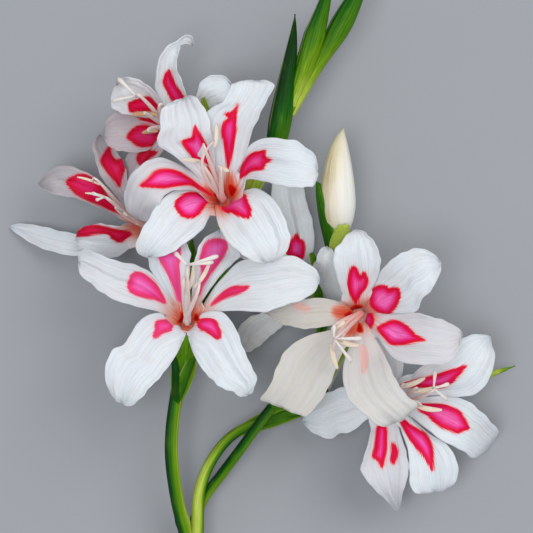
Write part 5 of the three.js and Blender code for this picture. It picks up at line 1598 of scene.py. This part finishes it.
CREAM_BUD = dict(
    foot=(338, 244, 22), middle=(337.5, 186, 27), tip=(343.5, 128, 24), foot_radius=2.2, radius=7.0,
    widest=0.38, taper=1.75, folds=2, twist=0.9, start=4.1, step=0.16, tone=0.35, swell=1.25,
    pale_foot=0.0,
)


# Assembly

PETAL_SKIN = petal_material()
STAMEN_SKIN = stamen_material()
BUD_SKIN = bud_material()
STALK_SKIN = stalk_material()


def make_bloom(name, bloom, seed):
    """A bloom's petals as one piece, and its stamens and style as another."""
    bloom = {**BLOOM_SHAPE, **bloom}
    petals = Piece("bloom_" + name)
    add_tube(petals, bloom)
    for order, petal in enumerate(bloom["petals"]):
        add_petal(petals, bloom, petal, order, seed + order)
    made = petals.build(PETAL_SKIN)
    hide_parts("petals_" + name)
    threads = Piece("threads_" + name)
    add_stamens(threads, bloom)
    made = threads.build(STAMEN_SKIN)
    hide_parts("stamens_" + name)


def make_bud():
    piece = Piece("wrapped_bud")
    add_bud(piece, CREAM_BUD)
    made = piece.build(BUD_SKIN)
    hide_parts("cream_bud")


def make_greens():
    """Everything green, which grew as one: stalks, bracts and the buds of the spike tip."""
    piece = Piece("green_spray")
    for seed, stalk in enumerate(STALKS.values(), STALK_SEED):
        add_stalk(piece, stalk, seed)
    for seed, bract in enumerate(BRACTS, BRACT_SEED):
        add_bract(piece, bract, seed)
    for bud in GREEN_BUDS:
        add_bud(piece, {**GREEN_BUD_SHAPE, **bud})
    made = piece.build(STALK_SKIN)
    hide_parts("stalks_and_bracts")


def make_floor():
    mesh = bpy.data.meshes.new("floor")
    corners = [(FLOOR_HALF * x, FLOOR_HALF * y, 0) for x, y in ((-1, -1), (1, -1), (1, 1), (-1, 1))]
    mesh.from_pydata(corners, [], [(0, 1, 2, 3)])
    mesh.materials.append(floor_material())
    floor = bpy.data.objects.new("floor", mesh)
    bpy.context.scene.collection.objects.link(floor)


def make_lamp(name, size, power, place, colour):
    """A round lamp that points at the middle of what the camera sees."""
    lamp = bpy.data.lights.new(name, "AREA")
    lamp.shape = "DISK"
    lamp.size = size
    lamp.energy = power
    lamp.color = colour
    made = bpy.data.objects.new(name, lamp)
    bpy.context.scene.collection.objects.link(made)
    made.location = place
    aim = made.location.copy()
    aim.x, aim.y, aim.z = (end - start for start, end in zip(place, LIT_POINT))
    made.rotation_mode = "QUATERNION"
    made.rotation_quaternion = aim.to_track_quat("-Z", "Y")


def make_light():
    make_lamp("key", size=1.9, power=27.0, place=(1.15, 1.1, 2.0), colour=(1.0, 0.99, 0.97))
    make_lamp("fill", size=0.9, power=16.5, place=(-0.3, -0.1, 2.0), colour=(0.97, 0.985, 1.0))
    world = bpy.data.worlds.new("soft_room")
    world.use_nodes = True
    back = world.node_tree.nodes["Background"]
    back.inputs[0].default_value = (0.95, 0.97, 1.0, 1.0)
    back.inputs[1].default_value = 0.43
    bpy.context.scene.world = world
    bpy.context.scene.view_settings.view_transform = "Standard"


def make_camera():
    """A camera straight above that sees the photo's width at the level of the surface."""
    camera = bpy.data.cameras.new("camera")
    camera.sensor_width = SENSOR
    camera.lens = SENSOR * EYE_HEIGHT / (2 * PHOTO_HALF_WIDTH)
    made = bpy.data.objects.new("camera", camera)
    bpy.context.scene.collection.objects.link(made)
    made.location = (SHIFT[0] * METRES, SHIFT[1] * METRES, EYE_HEIGHT * METRES)
    bpy.context.scene.camera = made


make_camera()
for number, (place, bloom) in enumerate(BLOOMS.items()):
    make_bloom(place, bloom, PETAL_SEED + PETAL_SEEDS_A_BLOOM * number)
make_bud()
make_greens()
make_floor()
make_light()
